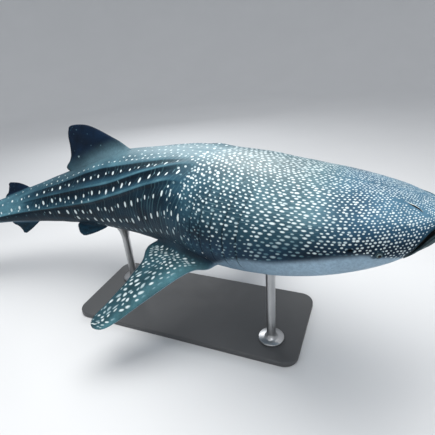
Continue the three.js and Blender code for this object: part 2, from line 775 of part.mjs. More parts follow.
const clearOfBody = (fin) => geometryOf(largest(fin.subtract(bodyClear)));
add('first_dorsal_fin', clearOfBody(medianFin(FIRST_DORSAL, 14)), FIN);
add('second_dorsal_fin', clearOfBody(medianFin(SECOND_DORSAL, 8)), FIN);
add('anal_fin', clearOfBody(medianFin(ANAL, 8)), FIN);
const caudal = buildCaudal();
add('caudal_fin_upper', geometryOf(caudal.upper), FIN);
add('caudal_fin_lower', geometryOf(caudal.lower), FIN);
for (const [hand, side] of [['left', 1], ['right', -1]]) {
  add(`pectoral_fin_${hand}`, clearOfBody(pairedFin(PECTORAL, 16, side)), FIN);
  add(`pelvic_fin_${hand}`, clearOfBody(pairedFin(PELVIC, 8, side)), FIN);
  add(`eye_${hand}`, facingOut(joined(eyeball(side, EYE.radius))), EYEBALL);
}

add('stand_base', buildBase(), PLATE);
add('stand_rod_front', geometryOf(buildRod(ROD_STATIONS[0])), STEEL);
add('stand_rod_rear', geometryOf(buildRod(ROD_STATIONS[1])), STEEL);

export default group;
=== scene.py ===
"""A life-size whale shark on a display stand: its skin, eyes and mouth, the stand and the studio."""

import math

import bmesh
import bpy
import numpy as np
from mathutils import Matrix, Vector


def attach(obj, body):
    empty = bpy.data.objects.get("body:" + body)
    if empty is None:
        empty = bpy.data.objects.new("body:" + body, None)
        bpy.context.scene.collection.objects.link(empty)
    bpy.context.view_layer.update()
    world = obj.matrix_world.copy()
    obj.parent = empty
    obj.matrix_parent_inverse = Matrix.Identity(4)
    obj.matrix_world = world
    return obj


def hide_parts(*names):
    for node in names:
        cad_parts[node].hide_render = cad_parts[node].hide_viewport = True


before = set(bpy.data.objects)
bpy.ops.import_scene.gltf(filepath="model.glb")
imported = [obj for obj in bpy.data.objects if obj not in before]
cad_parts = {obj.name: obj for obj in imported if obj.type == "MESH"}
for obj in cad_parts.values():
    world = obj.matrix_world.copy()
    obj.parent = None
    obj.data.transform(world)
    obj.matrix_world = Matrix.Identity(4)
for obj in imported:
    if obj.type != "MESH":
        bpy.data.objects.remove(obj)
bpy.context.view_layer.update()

# Driving dimensions in metres and degrees; stations and heights are shares of the length
LENGTH = 8.0
RIGHT, LEFT = -1.0, 1.0
NOSE_UP = 8
SHOULDER = 0.3
SHOULDER_POINT = (0.34, 0.0, 1.64)
HEADING = [
    (0, 13.5), (0.12, -5.6), (0.24, -22.7), (0.36, -15.5), (0.5, 1.9),
    (0.65, 16.2), (0.8, 29.4), (0.9, 34), (1, 36),
]

# Body sections: station, top, bottom and half width, fullness
NOSE = 0.01
SECTIONS = [
    (NOSE, 0.014, 0.007, 0.0335, 2.1),
    (0.03, 0.0235, 0.0164, 0.0564, 2.3),
    (0.06, 0.0352, 0.034, 0.0682, 2.4),
    (0.1, 0.0468, 0.0457, 0.0802, 2.35),
    (0.16, 0.0603, 0.0575, 0.0885, 2.28),
    (0.24, 0.0728, 0.0667, 0.089, 2.16),
    (0.34, 0.0765, 0.0655, 0.0783, 2.1),
    (0.45, 0.0761, 0.0572, 0.0651, 2.1),
    (0.56, 0.0541, 0.0418, 0.0479, 2.05),
    (0.68, 0.0301, 0.0265, 0.0317, 1.9),
    (0.74, 0.0202, 0.0195, 0.028, 1.7),
    (0.8, 0.0159, 0.0162, 0.0248, 1.6),
]
TAIL_ROOT = 0.79
STALK_REACH = 0.078
STALK_RISE = 0.012
BODY_END = 0.868
BODY_GIRTH = 4.1

# Ridges of each flank: angle up the side at each station, and height in metres
RIDGE_ABOVE = 11.0
RIDGE_BELOW = 4.6
LOW_RIDGE = [
    (0, 8), (0.18, 25), (0.27, 48), (0.334, 38), (0.413, 23), (0.498, 12), (0.587, 7),
    (0.68, 4), (0.8, 0),
]
MIDDLE_RIDGE = [
    (0, 34), (0.18, 50), (0.26, 68), (0.312, 59), (0.346, 52), (0.482, 31), (0.612, 32), (0.8, 36),
]
UPPER_RIDGE = [
    (0, 62), (0.18, 70), (0.255, 81), (0.298, 71), (0.357, 63), (0.484, 53), (0.56, 53), (0.8, 60),
]
LOW_HEIGHT = [(0.25, 0), (0.31, 0.026), (0.6, 0.03), (0.7, 0.042), (0.8, 0.046)]
MIDDLE_HEIGHT = [(0.24, 0), (0.3, 0.026), (0.58, 0.024), (0.68, 0)]
UPPER_HEIGHT = [(0.26, 0), (0.34, 0.022), (0.52, 0.022), (0.6, 0)]

# Gill slits of each side
GILL_SLITS = [0.17, 0.1845, 0.199, 0.2135, 0.228]
GILL_TOP = [62, 66, 64, 56, 46]
GILL_BOTTOM = [-22, -34, -40, -30, -18]
GILL_SWEEP = 0.009
GILL_FADE = 16
GILL_LEAN = [(-60, 0.3), (-42, 0.55), (-16, 1), (10, 0.6), (40, 0.08), (60, 0)]
GILL_FRONT = (0.15, 0.166)
GILL_BACK = (0.236, 0.27)
FLAP_RISE = 0.0035
FLAP_LENGTH = 0.0075
SLIT_DEPTH = 0.008
SLIT_WIDTH = 0.001

# Head
EYE_AT, EYE_ANGLE = 0.066, -5
EYE_RADIUS, EYE_SUNK = 0.027, 0.012
LID_WIDE, LID_TALL, LID_SUNK = EYE_RADIUS * 0.94, EYE_RADIUS * 0.19, EYE_RADIUS * 0.14
MOUTH_CORNER = 0.0495
LIP_LINE = [
    (0.0495, -0.0165, -0.0166),
    (0.044, -0.0084, -0.0122),
    (0.037, 0.0014, -0.0042),
    (0.027, 0.0082, 0.0034),
    (0.012, 0.0083, 0.0045),
    (0.004, 0.0054, 0.0022),
]
LIP_RADIUS = 0.017
LIP_OUT = LIP_RADIUS * 0.7
MOUTH_DEPTH = 0.3
SPIRACLE_AT, SPIRACLE_ANGLE, SPIRACLE_SIZE = 0.086, 3, (0.026, 0.016)
NOSTRIL_AT, NOSTRIL_HEIGHT, NOSTRIL_SIZE = 0.017, 0.0098, (0.03, 0.011)
BARBEL_LENGTH = 0.046
SCAR = [(0.05, 69), (0.041, 66), (0.034, 59), (0.0295, 48)]
SCAR_WIDTH = 0.012

# Fins: outlines as in the solids, half thickness at root and tip, and the fillet's radius
FIRST_DORSAL = {
    "leading": [(0.424, 0.066), (0.4467, 0.0877), (0.4667, 0.101), (0.4898, 0.1157), (0.5062, 0.1232),
                (0.5238, 0.1262), (0.535, 0.1262)],
    "trailing": [(0.561, 0.046), (0.5735, 0.0578), (0.5615, 0.0705), (0.5541, 0.084), (0.5485, 0.108),
                 (0.5445, 0.1185), (0.5397, 0.1247)],
    "thick": (0.062, 0.009), "fillet": 0.09,
}
SECOND_DORSAL = {
    "leading": [(0.652, 0.026), (0.6615, 0.0375), (0.6754, 0.0464), (0.6904, 0.0502)],
    "trailing": [(0.694, 0.018), (0.7114, 0.0243), (0.7012, 0.0345), (0.6945, 0.0484)],
    "thick": (0.026, 0.006), "fillet": 0.04,
}
ANAL = {
    "leading": [(0.658, -0.02), (0.6676, -0.0312), (0.6866, -0.043), (0.703, -0.0508)],
    "trailing": [(0.702, -0.017), (0.72, -0.0245), (0.7108, -0.0362), (0.7075, -0.0492)],
    "thick": (0.024, 0.006), "fillet": 0.04,
}
CAUDAL_UPPER = {
    "leading": [(0.787, -0.004), (0.8, 0.0165), (0.84, 0.054), (0.885, 0.096), (0.93, 0.135),
                (0.972, 0.164), (0.99, 0.171)],
    "trailing": [(0.874, -0.004), (0.88, 0.012), (0.897, 0.042), (0.922, 0.082), (0.95, 0.12),
                 (0.98, 0.154), (0.996, 0.17)],
    "thick": (0.092, 0.008), "fillet": 0.05,
}
CAUDAL_LOWER = {
    "leading": [(0.787, 0.004), (0.803, -0.018), (0.828, -0.048), (0.856, -0.084), (0.877, -0.111)],
    "trailing": [(0.874, 0.004), (0.872, -0.012), (0.874, -0.04), (0.882, -0.078), (0.887, -0.113)],
    "thick": (0.084, 0.008), "fillet": 0.05,
}
PECTORAL = {
    "at": 0.25, "droop": 30, "out": 0.85, "down": 0.6,
    "leading": [(0.034, -0.03), (0.027, 0.005), (0.004, 0.016), (-0.012, 0.031), (-0.031, 0.057),
                (-0.052, 0.088), (-0.068, 0.113), (-0.083, 0.131), (-0.099, 0.1405)],
    "trailing": [(-0.062, -0.03), (-0.1, 0.001), (-0.1045, 0.014), (-0.098, 0.03), (-0.1, 0.05),
                 (-0.104, 0.074), (-0.112, 0.104), (-0.1205, 0.127), (-0.1165, 0.14)],
    "thick": (0.084, 0.009), "fillet": 0.11, "round": 0.07,
}
PELVIC = {
    "at": 0.54, "droop": 45, "out": 0.6, "down": 0.8,
    "leading": [(0.036, -0.016), (0.034, 0.006), (0.02, 0.014), (0.004, 0.019), (-0.008, 0.0212)],
    "trailing": [(-0.016, -0.016), (-0.028, -0.001), (-0.026, 0.008), (-0.0205, 0.016),
                 (-0.0125, 0.0208)],
    "thick": (0.024, 0.006), "fillet": 0.045,
}
FIN_EDGE = 0.002

# Stand
BASE_THICKNESS = 0.07
ROD_STATIONS = {"stand_rod_front": 0.2, "stand_rod_rear": 0.5}
ROD_RADIUS, FOOT_RADIUS, FOOT_THICKNESS = 0.052, 0.15, 0.026
FOOT_GAP, FOOT_BEVEL = 0.0003, 0.004
SADDLE_RADIUS, SADDLE_HEIGHT, SADDLE_SUNK = 0.125, 0.24, 0.03
AXIS_HOLE = 0.001

# Grid of the body: steps between rings in metres from each station on. The columns of each side
# run along the ridges, with a share of them below, between and above the three crests
RING_STEPS = [(NOSE, 0.0075), (0.15, 0.0042), (0.24, 0.0075), (0.45, 0.0105), (BODY_END, None)]
NOSE_RINGS = 40
COLUMN_SPANS = [104, 12, 26, 12, 24, 12, 40]
SIDE_COLUMNS = sum(COLUMN_SPANS)
EVEN_MARKS = (20, 45, 66)

# Colours of the skin
DARK = np.array((0.0018, 0.01, 0.0195))
DUSK = np.array((0.0052, 0.0255, 0.045))
TEAL = np.array((0.018, 0.063, 0.097))
PALE = np.array((0.074, 0.18, 0.23))
BACK_GREY = np.array((0.09, 0.148, 0.172))
# Painted highlight colour for the crown of the head and shoulders
CROWN_HIGHLIGHT = np.array((0.19, 0.275, 0.31))
HEAD_TINT = np.array((0.95, 0.91, 1.05))
SHOULDER_TINT = np.array((1.12, 0.93, 0.86))
# Pale belly colour, darkened and blued as painted shade; the lower faces of the paired fins use it too
BELLY_WHITE_IN_SHADE = np.array((0.26, 0.37, 0.465))
FIN_NAVY = np.array((0.0028, 0.011, 0.027))
FIN_GREEN = np.array((0.02, 0.062, 0.08))
FIN_FRONT = np.array((0.05, 0.13, 0.155))
SLIT_BLACK = np.array((0.002, 0.003, 0.004))
LIP_GREY = np.array((0.012, 0.024, 0.03))
JAW_OLIVE = np.array((0.055, 0.09, 0.1))
LID_GREY = np.array((0.15, 0.23, 0.26))
SCAR_WHITE = np.array((0.75, 0.78, 0.75))
SEED = 11


def through(knots):
    """A smooth curve through (x, y) knots that never overshoots them."""
    x, y = np.array(knots, float).T
    rise = np.diff(y) / np.diff(x)
    slope = np.zeros(len(x))
    both = rise[:-1] * rise[1:]
    total = rise[:-1] + rise[1:]
    slope[1:-1] = np.where(both > 0, 2 * both / np.where(total == 0, 1, total), 0)
    slope[0] = rise[0] if rise[0] * rise[min(1, len(rise) - 1)] > 0 else 0
    slope[-1] = rise[-1] if rise[-1] * rise[max(-2, -len(rise))] > 0 else 0

    def curve(at):
        at = np.clip(at, x[0], x[-1])
        k = np.clip(np.searchsorted(x, at) - 1, 0, len(x) - 2)
        step = x[k + 1] - x[k]
        t = (at - x[k]) / step
        u = 1 - t
        return (y[k] * u * u * (1 + 2 * t) + y[k + 1] * t * t * (3 - 2 * t)
                + slope[k] * step * t * u * u - slope[k + 1] * step * t * t * u)

    return curve


def smooth(value, start, end):
    t = np.clip((value - start) / (end - start), 0, 1)
    return t * t * (3 - 2 * t)


def fade(value, start, end):
    return 1 - smooth(value, start, end)


def mix(a, b, share):
    return a + (b - a) * share


def tint(a, b, share):
    """Mixes colours, or fields of them, by a field of shares."""
    share = np.asarray(share)[..., None]
    return a * (1 - share) + b * share


def wander(u, v, seed, waves=7):
    """A smooth seeded field of about unit size whose waves are a few units long."""
    rng = np.random.default_rng(SEED * 1000 + seed)
    total = 0
    for _ in range(waves):
        turn_u, turn_v = rng.normal(size=2) * 1.6
        total = total + np.sin(turn_u * u + turn_v * v + rng.uniform(0, 2 * np.pi))
    return total / math.sqrt(waves / 2)


# Body axis, walked back along the heading
heading = through(HEADING)
AXIS_STEPS = 1000
turns = np.radians(heading((np.arange(AXIS_STEPS) + 0.5) / AXIS_STEPS))
steps = -np.stack([np.cos(turns), np.sin(turns)], 1) * LENGTH / AXIS_STEPS
axis_points = np.vstack([np.zeros(2), np.cumsum(steps, 0)])
axis_shares = np.linspace(0, 1, AXIS_STEPS + 1)


def axis_at(at):
    at = np.asarray(at, float)
    x = np.interp(at, axis_shares, axis_points[:, 0])
    y = np.interp(at, axis_shares, axis_points[:, 1])
    return np.stack([x, y, np.zeros_like(x)], -1)


def forward_at(at):
    turn = np.radians(heading(at))
    return np.stack([np.cos(turn), np.sin(turn), np.zeros_like(turn)], -1)


def left_at(at):
    turn = np.radians(heading(at))
    return np.stack([-np.sin(turn), np.cos(turn), np.zeros_like(turn)], -1)


UP = np.array((0.0, 0.0, 1.0))
lift_of_nose = math.radians(NOSE_UP)
TILT = np.array([
    [math.cos(lift_of_nose), 0, -math.sin(lift_of_nose)],
    [0, 1, 0],
    [math.sin(lift_of_nose), 0, math.cos(lift_of_nose)],
])


def to_world(points):
    return (points - axis_at(SHOULDER)) @ TILT.T + np.array(SHOULDER_POINT)


def body_point(at, left, up, ahead=0.0):
    """Points left of, above and ahead of the axis at a station, in the animal's own frame."""
    ahead, left, up = (np.asarray(value, float)[..., None] for value in (ahead, left, up))
    return axis_at(at) + left_at(at) * left + UP * up + forward_at(at) * ahead


top_curve, bottom_curve, width_curve, fullness_curve = (
    through([(row[0], row[k]) for row in SECTIONS]) for k in range(1, 5)
)
ridge_angles = [through(knots) for knots in (LOW_RIDGE, MIDDLE_RIDGE, UPPER_RIDGE)]
ridge_heights = [through(knots) for knots in (LOW_HEIGHT, MIDDLE_HEIGHT, UPPER_HEIGHT)]
gill_lean = through(GILL_LEAN)


def section_at(at):
    """Top, bottom, half width, exponent and rise of the section at a station."""
    at = np.asarray(at, float)
    body = np.minimum(at, TAIL_ROOT)
    cap = np.sqrt(np.clip(at / NOSE, 1e-6, 1))
    share = np.clip((at - TAIL_ROOT) / STALK_REACH, 0, 1)
    low = LENGTH * cap * (1 - 0.55 * share)
    thin = stalk_thin(at)
    return (top_curve(body) * low, bottom_curve(body) * low, width_curve(body) * LENGTH * cap * thin,
            2 / fullness_curve(body), STALK_RISE * LENGTH * share ** 2)


def stalk_thin(at):
    """How the stalk narrows as it runs into the tail fin."""
    share = np.clip((np.asarray(at, float) - TAIL_ROOT) / STALK_REACH, 0, 0.995)
    return (1 - share) ** 1.15 * (1 + 0.35 * share)


def ridge_lift(at, angle):
    lift = np.zeros(np.broadcast(at, angle).shape)
    for crest, height in zip(ridge_angles, ridge_heights):
        off = angle - crest(at)
        shape = np.where(off > 0, fade(off, 0, RIDGE_ABOVE), fade(-off, 0, RIDGE_BELOW))
        lift += height(np.minimum(at, TAIL_ROOT)) * shape
    return lift * stalk_thin(at)


def gill_fields(at, angle):
    """Lift of the gill flaps and how deep in a slit each point is, from 0 to 1."""
    lift = np.zeros(np.broadcast(at, angle).shape)
    depth = np.zeros_like(lift)
    for slit, top, bottom in zip(GILL_SLITS, GILL_TOP, GILL_BOTTOM):
        reach = smooth(angle, bottom - GILL_FADE, bottom + GILL_FADE)
        reach = reach * fade(angle, top - GILL_FADE, top + GILL_FADE)
        off = at - slit
        edge = -SLIT_WIDTH / 2
        flap = np.where(off <= edge, smooth(off, -FLAP_LENGTH, edge), 0)
        hollow = np.where(off > edge, fade(off, SLIT_WIDTH / 2, SLIT_WIDTH * 2), 0)
        lift += reach * (FLAP_RISE * flap - SLIT_DEPTH * hollow)
        depth = np.maximum(depth, reach * hollow)
    return lift, depth


def lean(at, angle):
    zone = smooth(at, *GILL_FRONT) * fade(at, *GILL_BACK)
    return at + GILL_SWEEP * gill_lean(angle) * zone


def skin_section(at, angle, side, lift=0.0):
    """Points of the plain skin in the animal's own frame, on the left where side is 1."""
    top, bottom, half, power, rise = section_at(at)
    cosine = np.maximum(np.cos(np.radians(angle)), 0)
    sine = np.sin(np.radians(angle))
    height = np.where(sine >= 0, top, bottom)
    out = cosine ** power * half
    up = np.sign(sine) * np.abs(sine) ** power * height
    normal_out, normal_up = cosine / half, sine / height
    size = np.hypot(normal_out, normal_up)
    return body_point(at, side * (out + normal_out / size * lift), rise + up + normal_up / size * lift)


def angle_of_height(at, height):
    """Angle up the side at which the skin has a given height over the axis, in metres."""
    top, bottom, _, power, _ = section_at(at)
    reach = np.where(np.asarray(height) >= 0, top, bottom)
    share = np.minimum(np.abs(height) / reach, 1.0) ** (1 / power)
    return np.sign(height) * np.degrees(np.arcsin(share))


NOSTRIL_ANGLE = float(angle_of_height(NOSTRIL_AT, NOSTRIL_HEIGHT * LENGTH))


def outward_at(at, angle, side):
    along = skin_section(at + 0.002, angle, side) - skin_section(at - 0.002, angle, side)
    around = skin_section(at, angle + 1, side) - skin_section(at, angle - 1, side)
    outward = -side * np.cross(around, along)
    return outward / np.linalg.norm(outward)


def over_skin(points):
    """Height of points over the plain skin, and the station, angle and side under each."""
    flat = points.reshape(-1, 3)
    coarse = np.linspace(0, 1, 161)
    spine = axis_at(coarse)[:, :2]
    away = ((flat[:, None, :2] - spine[None]) ** 2).sum(-1)
    at = coarse[away.argmin(1)]
    for _ in range(4):
        off = flat - axis_at(at)
        at = np.clip(at - (off * forward_at(at)).sum(-1) / LENGTH, 0, 1)
    off = flat - axis_at(at)
    top, bottom, half, power, rise = section_at(at)
    out = (off * left_at(at)).sum(-1)
    up = off[:, 2] - rise
    high = np.where(up >= 0, top, bottom)
    share_out = (np.abs(out) / half) ** (1 / power)
    share_up = (np.abs(up) / high) ** (1 / power)
    reach = (share_out ** 2 + share_up ** 2) ** (power / 2)
    height = np.hypot(out, up) * (1 - 1 / np.maximum(reach, 1e-3))
    angle = np.degrees(np.arctan2(np.sign(up) * share_up, share_out))
    side = np.where(out >= 0, 1.0, -1.0)
    return tuple(value.reshape(points.shape[:-1]) for value in (height, at, angle, side))


# Shortest step between points and most rows or columns that a stamped spot reaches over
STAMP_STEP, STAMP_SPAN = 0.003, 60


class Loft:
    """A grid of points with closed columns, and what the skin carries at each of them."""

    def __init__(self, name, points, size):
        self.name = name
        self.points = points
        self.size = size
        rows, cols = points.shape[:2]
        self.ground = np.tile(DUSK, (rows, cols, 1))
        self.spot = np.full((rows, cols), -1.0)
        self.tone = np.zeros((rows, cols))
        self.lattice = np.zeros((rows, cols, 3))
        self.marks = np.zeros((rows, cols, 3))
        self.bar_at = np.zeros((rows, cols))
        self.cut = np.zeros((rows - 1, cols), bool)

    def stamp(self, row, col, along, length, width, tone):
        """One oval spot: half length along a direction and half width across it."""
        rows, cols = self.spot.shape
        r, c = int(row), int(col)
        if not 1 <= r < rows - 2:
            return
        here = self.points[r, c % cols]
        ahead = self.points[r + 1, c % cols] - here
        beside = self.points[r, (c + 1) % cols] - here
        centre = here + ahead * (row - r) + beside * (col - c)
        reach = 2 * max(length, width)
        span_r, span_c = (min(int(reach / max(np.linalg.norm(step), STAMP_STEP)) + 2, STAMP_SPAN)
                          for step in (ahead, beside))
        span_c = min(span_c, cols // 2 - 1)
        patch = np.ix_(np.arange(max(0, r - span_r), min(rows, r + span_r + 1)),
                       np.arange(c - span_c, c + span_c + 1) % cols)
        off = self.points[patch] - centre
        forward = off @ along
        across = (off ** 2).sum(-1) - forward ** 2
        value = 1 - np.sqrt((forward / length) ** 2 + np.maximum(across, 0) / width ** 2)
        better = value > self.spot[patch]
        self.spot[patch] = np.where(better, value, self.spot[patch])
        self.tone[patch] = np.where(better, tone, self.tone[patch])


# Body skin
def ring_stations():
    nose = NOSE * (np.arange(1, NOSE_RINGS + 1) / NOSE_RINGS) ** 2
    parts = [nose[:-1]]
    for (start, step), (end, _) in zip(RING_STEPS, RING_STEPS[1:]):
        count = round((end - start) * LENGTH / step)
        parts.append(np.linspace(start, end, count, endpoint=False))
    return np.concatenate([*parts, [RING_STEPS[-1][0]]])


def column_angles(at):
    """Angles up one side of every column at each station, with columns along the ridges."""
    marks = [np.full_like(at, -90.0)]
    for crest, even in zip(ridge_angles, EVEN_MARKS):
        mark = mix(even, crest(at), smooth(at, 0.2, 0.3))
        marks += [mark - RIDGE_BELOW, mark]
    marks.append(np.full_like(at, 90.0))
    parts = [marks[0]]
    for start, end, count in zip(marks, marks[1:], COLUMN_SPANS):
        parts.append(start + (end - start) * np.arange(1, count + 1) / count)
    return np.concatenate(parts, axis=1)


stations = ring_stations()[:, None]
half_turns = column_angles(stations)
angles = np.concatenate([half_turns, half_turns[:, -2:0:-1]], axis=1)
sides = np.concatenate([-np.ones(SIDE_COLUMNS + 1), np.ones(SIDE_COLUMNS - 1)])[None, :]
leaning = lean(stations, angles)


def row_of(at):
    return float(np.interp(at, stations[:, 0], np.arange(len(stations))))


def column_of(row, angle, side):
    """Column of the body grid at an angle up one side of a ring."""
    k = float(np.interp(angle, half_turns[int(row)], np.arange(SIDE_COLUMNS + 1)))
    return k if side < 0 else 2 * SIDE_COLUMNS - k


def near(at, angle, side, size):
    """Distance of every point of the body grid from a place on it, over the size along and across."""
    centre = skin_section(at, angle, side)
    off = plain - centre
    along = forward_at(at)
    forward = off @ along
    across = np.sqrt(np.maximum((off ** 2).sum(-1) - forward ** 2, 0))
    return np.hypot(forward / size[0], across / size[1])


def from_eye(side):
    """Distance of every point of the body grid from an eye, in metres."""
    return near(EYE_AT, EYE_ANGLE, side, (1, 1))


def from_spiracle(side):
    return near(SPIRACLE_AT, SPIRACLE_ANGLE, side, SPIRACLE_SIZE)


def from_nostril(side):
    return near(NOSTRIL_AT, NOSTRIL_ANGLE, side, NOSTRIL_SIZE)


plain = skin_section(leaning, angles, sides)
gill_rise, gill_depth = gill_fields(stations, angles)


def off_the_scar():
    """Distance of every point of the body from the old scar on the right of the head."""
    knots = np.array(SCAR)
    t = np.linspace(0, 1, 60)
    where = np.linspace(0, 1, len(knots))
    path = skin_section(np.interp(t, where, knots[:, 0]), np.interp(t, where, knots[:, 1]), RIGHT)
    distance = np.full(plain.shape[:2], 9.0)
    rows = slice(0, int(row_of(0.07)))
    for point in path:
        away = np.linalg.norm(plain[rows] - point, axis=-1)
        distance[rows] = np.minimum(distance[rows], away)
    return distance


# Thin pale bars that cross the flank from back to belly
BAR_SPACING = 0.0078
BAR_SLANT = 0.03
bar_place = (leaning + BAR_SLANT * smooth(angles, 5, 75)
             + 0.002 * wander(leaning * 30, sides * angles / 22, 1)) / BAR_SPACING
bar_zone = smooth(leaning, 0.235, 0.262) * mix(1, 0.4, smooth(leaning, 0.32, 0.4))
bar_zone = bar_zone * fade(leaning, 0.6, 0.75) * smooth(angles, -48, -30) * fade(angles, 76, 84)


def body_lift():
    """Relief of the skin over its plain sections."""
    lift = ridge_lift(leaning, angles) + gill_rise
    lift += 0.0016 * wander(leaning * 20, sides * angles / 30, 4)
    lift += 0.0007 * wander(leaning * 90, sides * angles / 9, 5) * smooth(leaning, 0.02, 0.1)
    for side in (RIGHT, LEFT):
        eye = from_eye(side)
        lift += 0.005 * np.exp(-((eye - 0.045) / 0.016) ** 2)
        lift -= 0.03 * fade(eye, EYE_RADIUS * 0.82, EYE_RADIUS * 1.02)
        hole = from_spiracle(side)
        lift += 0.006 * np.exp(-((hole - 1.35) / 0.35) ** 2) - 0.024 * fade(hole, 0.5, 1.1)
        nostril = from_nostril(side)
        lift += 0.005 * np.exp(-((nostril - 1.5) / 0.5) ** 2) - 0.016 * fade(nostril, 0.5, 1.2)
    fold = smooth(np.abs(bar_place % 1 - 0.5), 0.0, 0.3)
    folds = 0.003 * (1 - fold) * bar_zone * fade(leaning, 0.33, 0.42)
    lift += folds * smooth(wander(leaning * 18, angles / 16, 6), -0.4, 0.8)
    return lift


# Fins
def spline(points, t):
    """Catmull-Rom curve through the points, evenly shared between them."""
    points = np.array(points, float)
    last = len(points) - 1
    place = np.clip(t, 0, 1) * last
    k = np.minimum(place.astype(int), last - 1)
    w = (place - k)[:, None]
    before, start = points[np.maximum(k - 1, 0)], points[k]
    end, after = points[k + 1], points[np.minimum(k + 2, last)]
    leave, arrive = (end - before) / 2, (after - start) / 2
    return ((2 * start - 2 * end + leave + arrive) * w ** 3
            + (3 * end - 3 * start - 2 * leave - arrive) * w ** 2 + leave * w + start)


def fin_places(fin, side):
    """How a fin's own plane lies: a function from (x, outward, across) to points."""
    if "at" not in fin:
        def place(x, out, across):
            return body_point(x, across, out * LENGTH)
        return place
    _, bottom, half, _, _ = section_at(fin["at"])
    ahead, left = forward_at(fin["at"]), left_at(fin["at"])
    droop = math.radians(fin["droop"])
    outward = left * side * math.cos(droop) - UP * math.sin(droop)
    normal = np.cross(ahead, outward)
    root = axis_at(fin["at"]) + left * side * half * fin["out"] - UP * bottom * fin["down"]

    def place(x, out, across):
        x, out, across = (np.asarray(value, float)[..., None] for value in (x, out, across))
        return root + ahead * x * LENGTH + outward * out * LENGTH + normal * across

    return place


def fin_half(fin, share, span):
    thick = mix(fin["thick"][0], fin["thick"][1], np.clip(span, 0, 1) ** 0.8)
    close = np.sqrt(1 - np.clip((span - 0.965) / 0.035, 0, 0.995) ** 2)
    share = np.clip(share, 0, 1)
    return (thick * np.sin(np.pi * share ** 0.6) + FIN_EDGE * share) * close


def fin_edges(fin, span):
    """Front and back edge along the span, drawn together at a rounded tip."""
    front, back = spline(fin["leading"], span), spline(fin["trailing"], span)
    if "round" not in fin:
        return front, back
    past = np.clip((span - 1 + fin["round"]) / fin["round"], 0, 0.98)[:, None]
    middle = (front + back) / 2
    return [mix(middle, edge, np.sqrt(1 - past ** 2)) for edge in (front, back)]


def fin_grid(name, fin, rows, side=0.0, ripple=0.004):
    """Loft of a fin, with rows from root to tip and columns once round its section."""
    span = np.linspace(0, 1, rows)
    front, back = fin_edges(fin, span)
    cols = max(28, rows // 2)
    share = np.linspace(0, 1, cols) ** 1.5
    share = np.concatenate([share, share[-2:0:-1]])[None, :]
    face = np.concatenate([np.ones(cols), -np.ones(cols - 2)])[None, :]
    wear = 0.00025 * wander(span * 11, 0, 21) * smooth(span, 0.1, 0.3)
    reach = share ** 3 * wear[:, None]
    x = mix(front[:, :1], back[:, :1], share) + reach * np.sign(back[:, :1] - front[:, :1])
    out = mix(front[:, 1:], back[:, 1:], share)
    span = span[:, None]
    wave = ripple * wander(span * 5, share * 2, 22) * smooth(share, 0.3, 1) * smooth(span, 0.1, 0.5)
    across = face * fin_half(fin, share, span) + wave
    place = fin_places(fin, side)
    points = place(x, out, across + root_flare(fin, place, x, out, across, share, face))
    chord = np.linalg.norm(points[:, cols - 1] - points[:, 0], axis=-1)
    size = (np.linalg.norm(points[-1, 0] - points[0, 0]), 2 * chord.max())
    loft = Loft(name, points, size)
    loft.share, loft.span, loft.face = np.broadcast_arrays(share, span, face)
    loft.along = loft.span * size[0]
    loft.chord = loft.share * chord[:, None]
    loft.side = side
    loft.height, loft.at, loft.angle, loft.over_side = over_skin(points)
    return loft


def fillet(height, radius):
    """Width of a hollow fillet at a height over the surface that it grows from."""
    q = np.clip(height / radius, 0, 1)
    return radius * (1 - np.sqrt(np.clip(1 - (1 - q) ** 2, 0, 1)))


def root_flare(fin, place, x, out, across, share, face):
    """How much thicker each face of a fin is near its root, so that it grows out of the body."""
    radius = fin["fillet"]
    edges = np.sin(np.pi * np.clip(share, 0, 1) ** 0.8) ** 0.5
    flare = np.zeros_like(across)
    for _ in range(14):
        height = over_skin(place(x, out, across + face * flare))[0]
        flare = (flare + fillet(height, radius) * edges) / 2
    return face * flare


# Markings of the body
def bands_with_ridge_light(at, angle):
    """Light and dark bands of the flank, from 0, dark, to 1, pale: each band darkens into painted shade
    just under the ridge above it, and a pale line along each crest is a painted highlight.
    """
    low, middle, upper = (crest(at) for crest in ridge_angles)
    lowest = -60
    under = (low - angle) / (low - lowest)
    light = np.where(angle > lowest, 0.1 + 0.12 * smooth(under, 0.1, 0.6), 0.16)
    # Each band darkens with painted shade just under the ridge above it
    for start, end, pale in ((low, middle, 0.62), (middle, upper, 0.66)):
        share = (end - angle) / (end - start)
        light = np.where(angle > start, mix(0.03, pale, smooth(share, 0.42, 0.97)), light)
    light = np.where(angle > upper, 0.78, light)
    # Painted highlight: a pale line along the upper side of each crest
    for crest, height in zip((low, middle, upper), ridge_heights):
        off = angle - crest
        line = np.where(off > 0, fade(off, 1.4, 4.5), fade(-off, 0.3, 1.5))
        light = np.maximum(light, line * (0.5 + 12 * height(at)))
    return light


belly_edge = through([
    (0, -40), (0.04, -40), (0.052, -22), (0.066, -9), (0.08, -2.5), (0.1, 0), (0.124, -2), (0.17, -12),
    (0.22, -27), (0.28, -41), (0.36, -54), (0.46, -62), (0.55, -60), (0.64, -52), (0.7, -40),
    (BODY_END, -30),
])
upper_lip_line = through([(row[0], row[1]) for row in reversed(LIP_LINE)])
lower_lip_line = through([(row[0], row[2]) for row in reversed(LIP_LINE)])


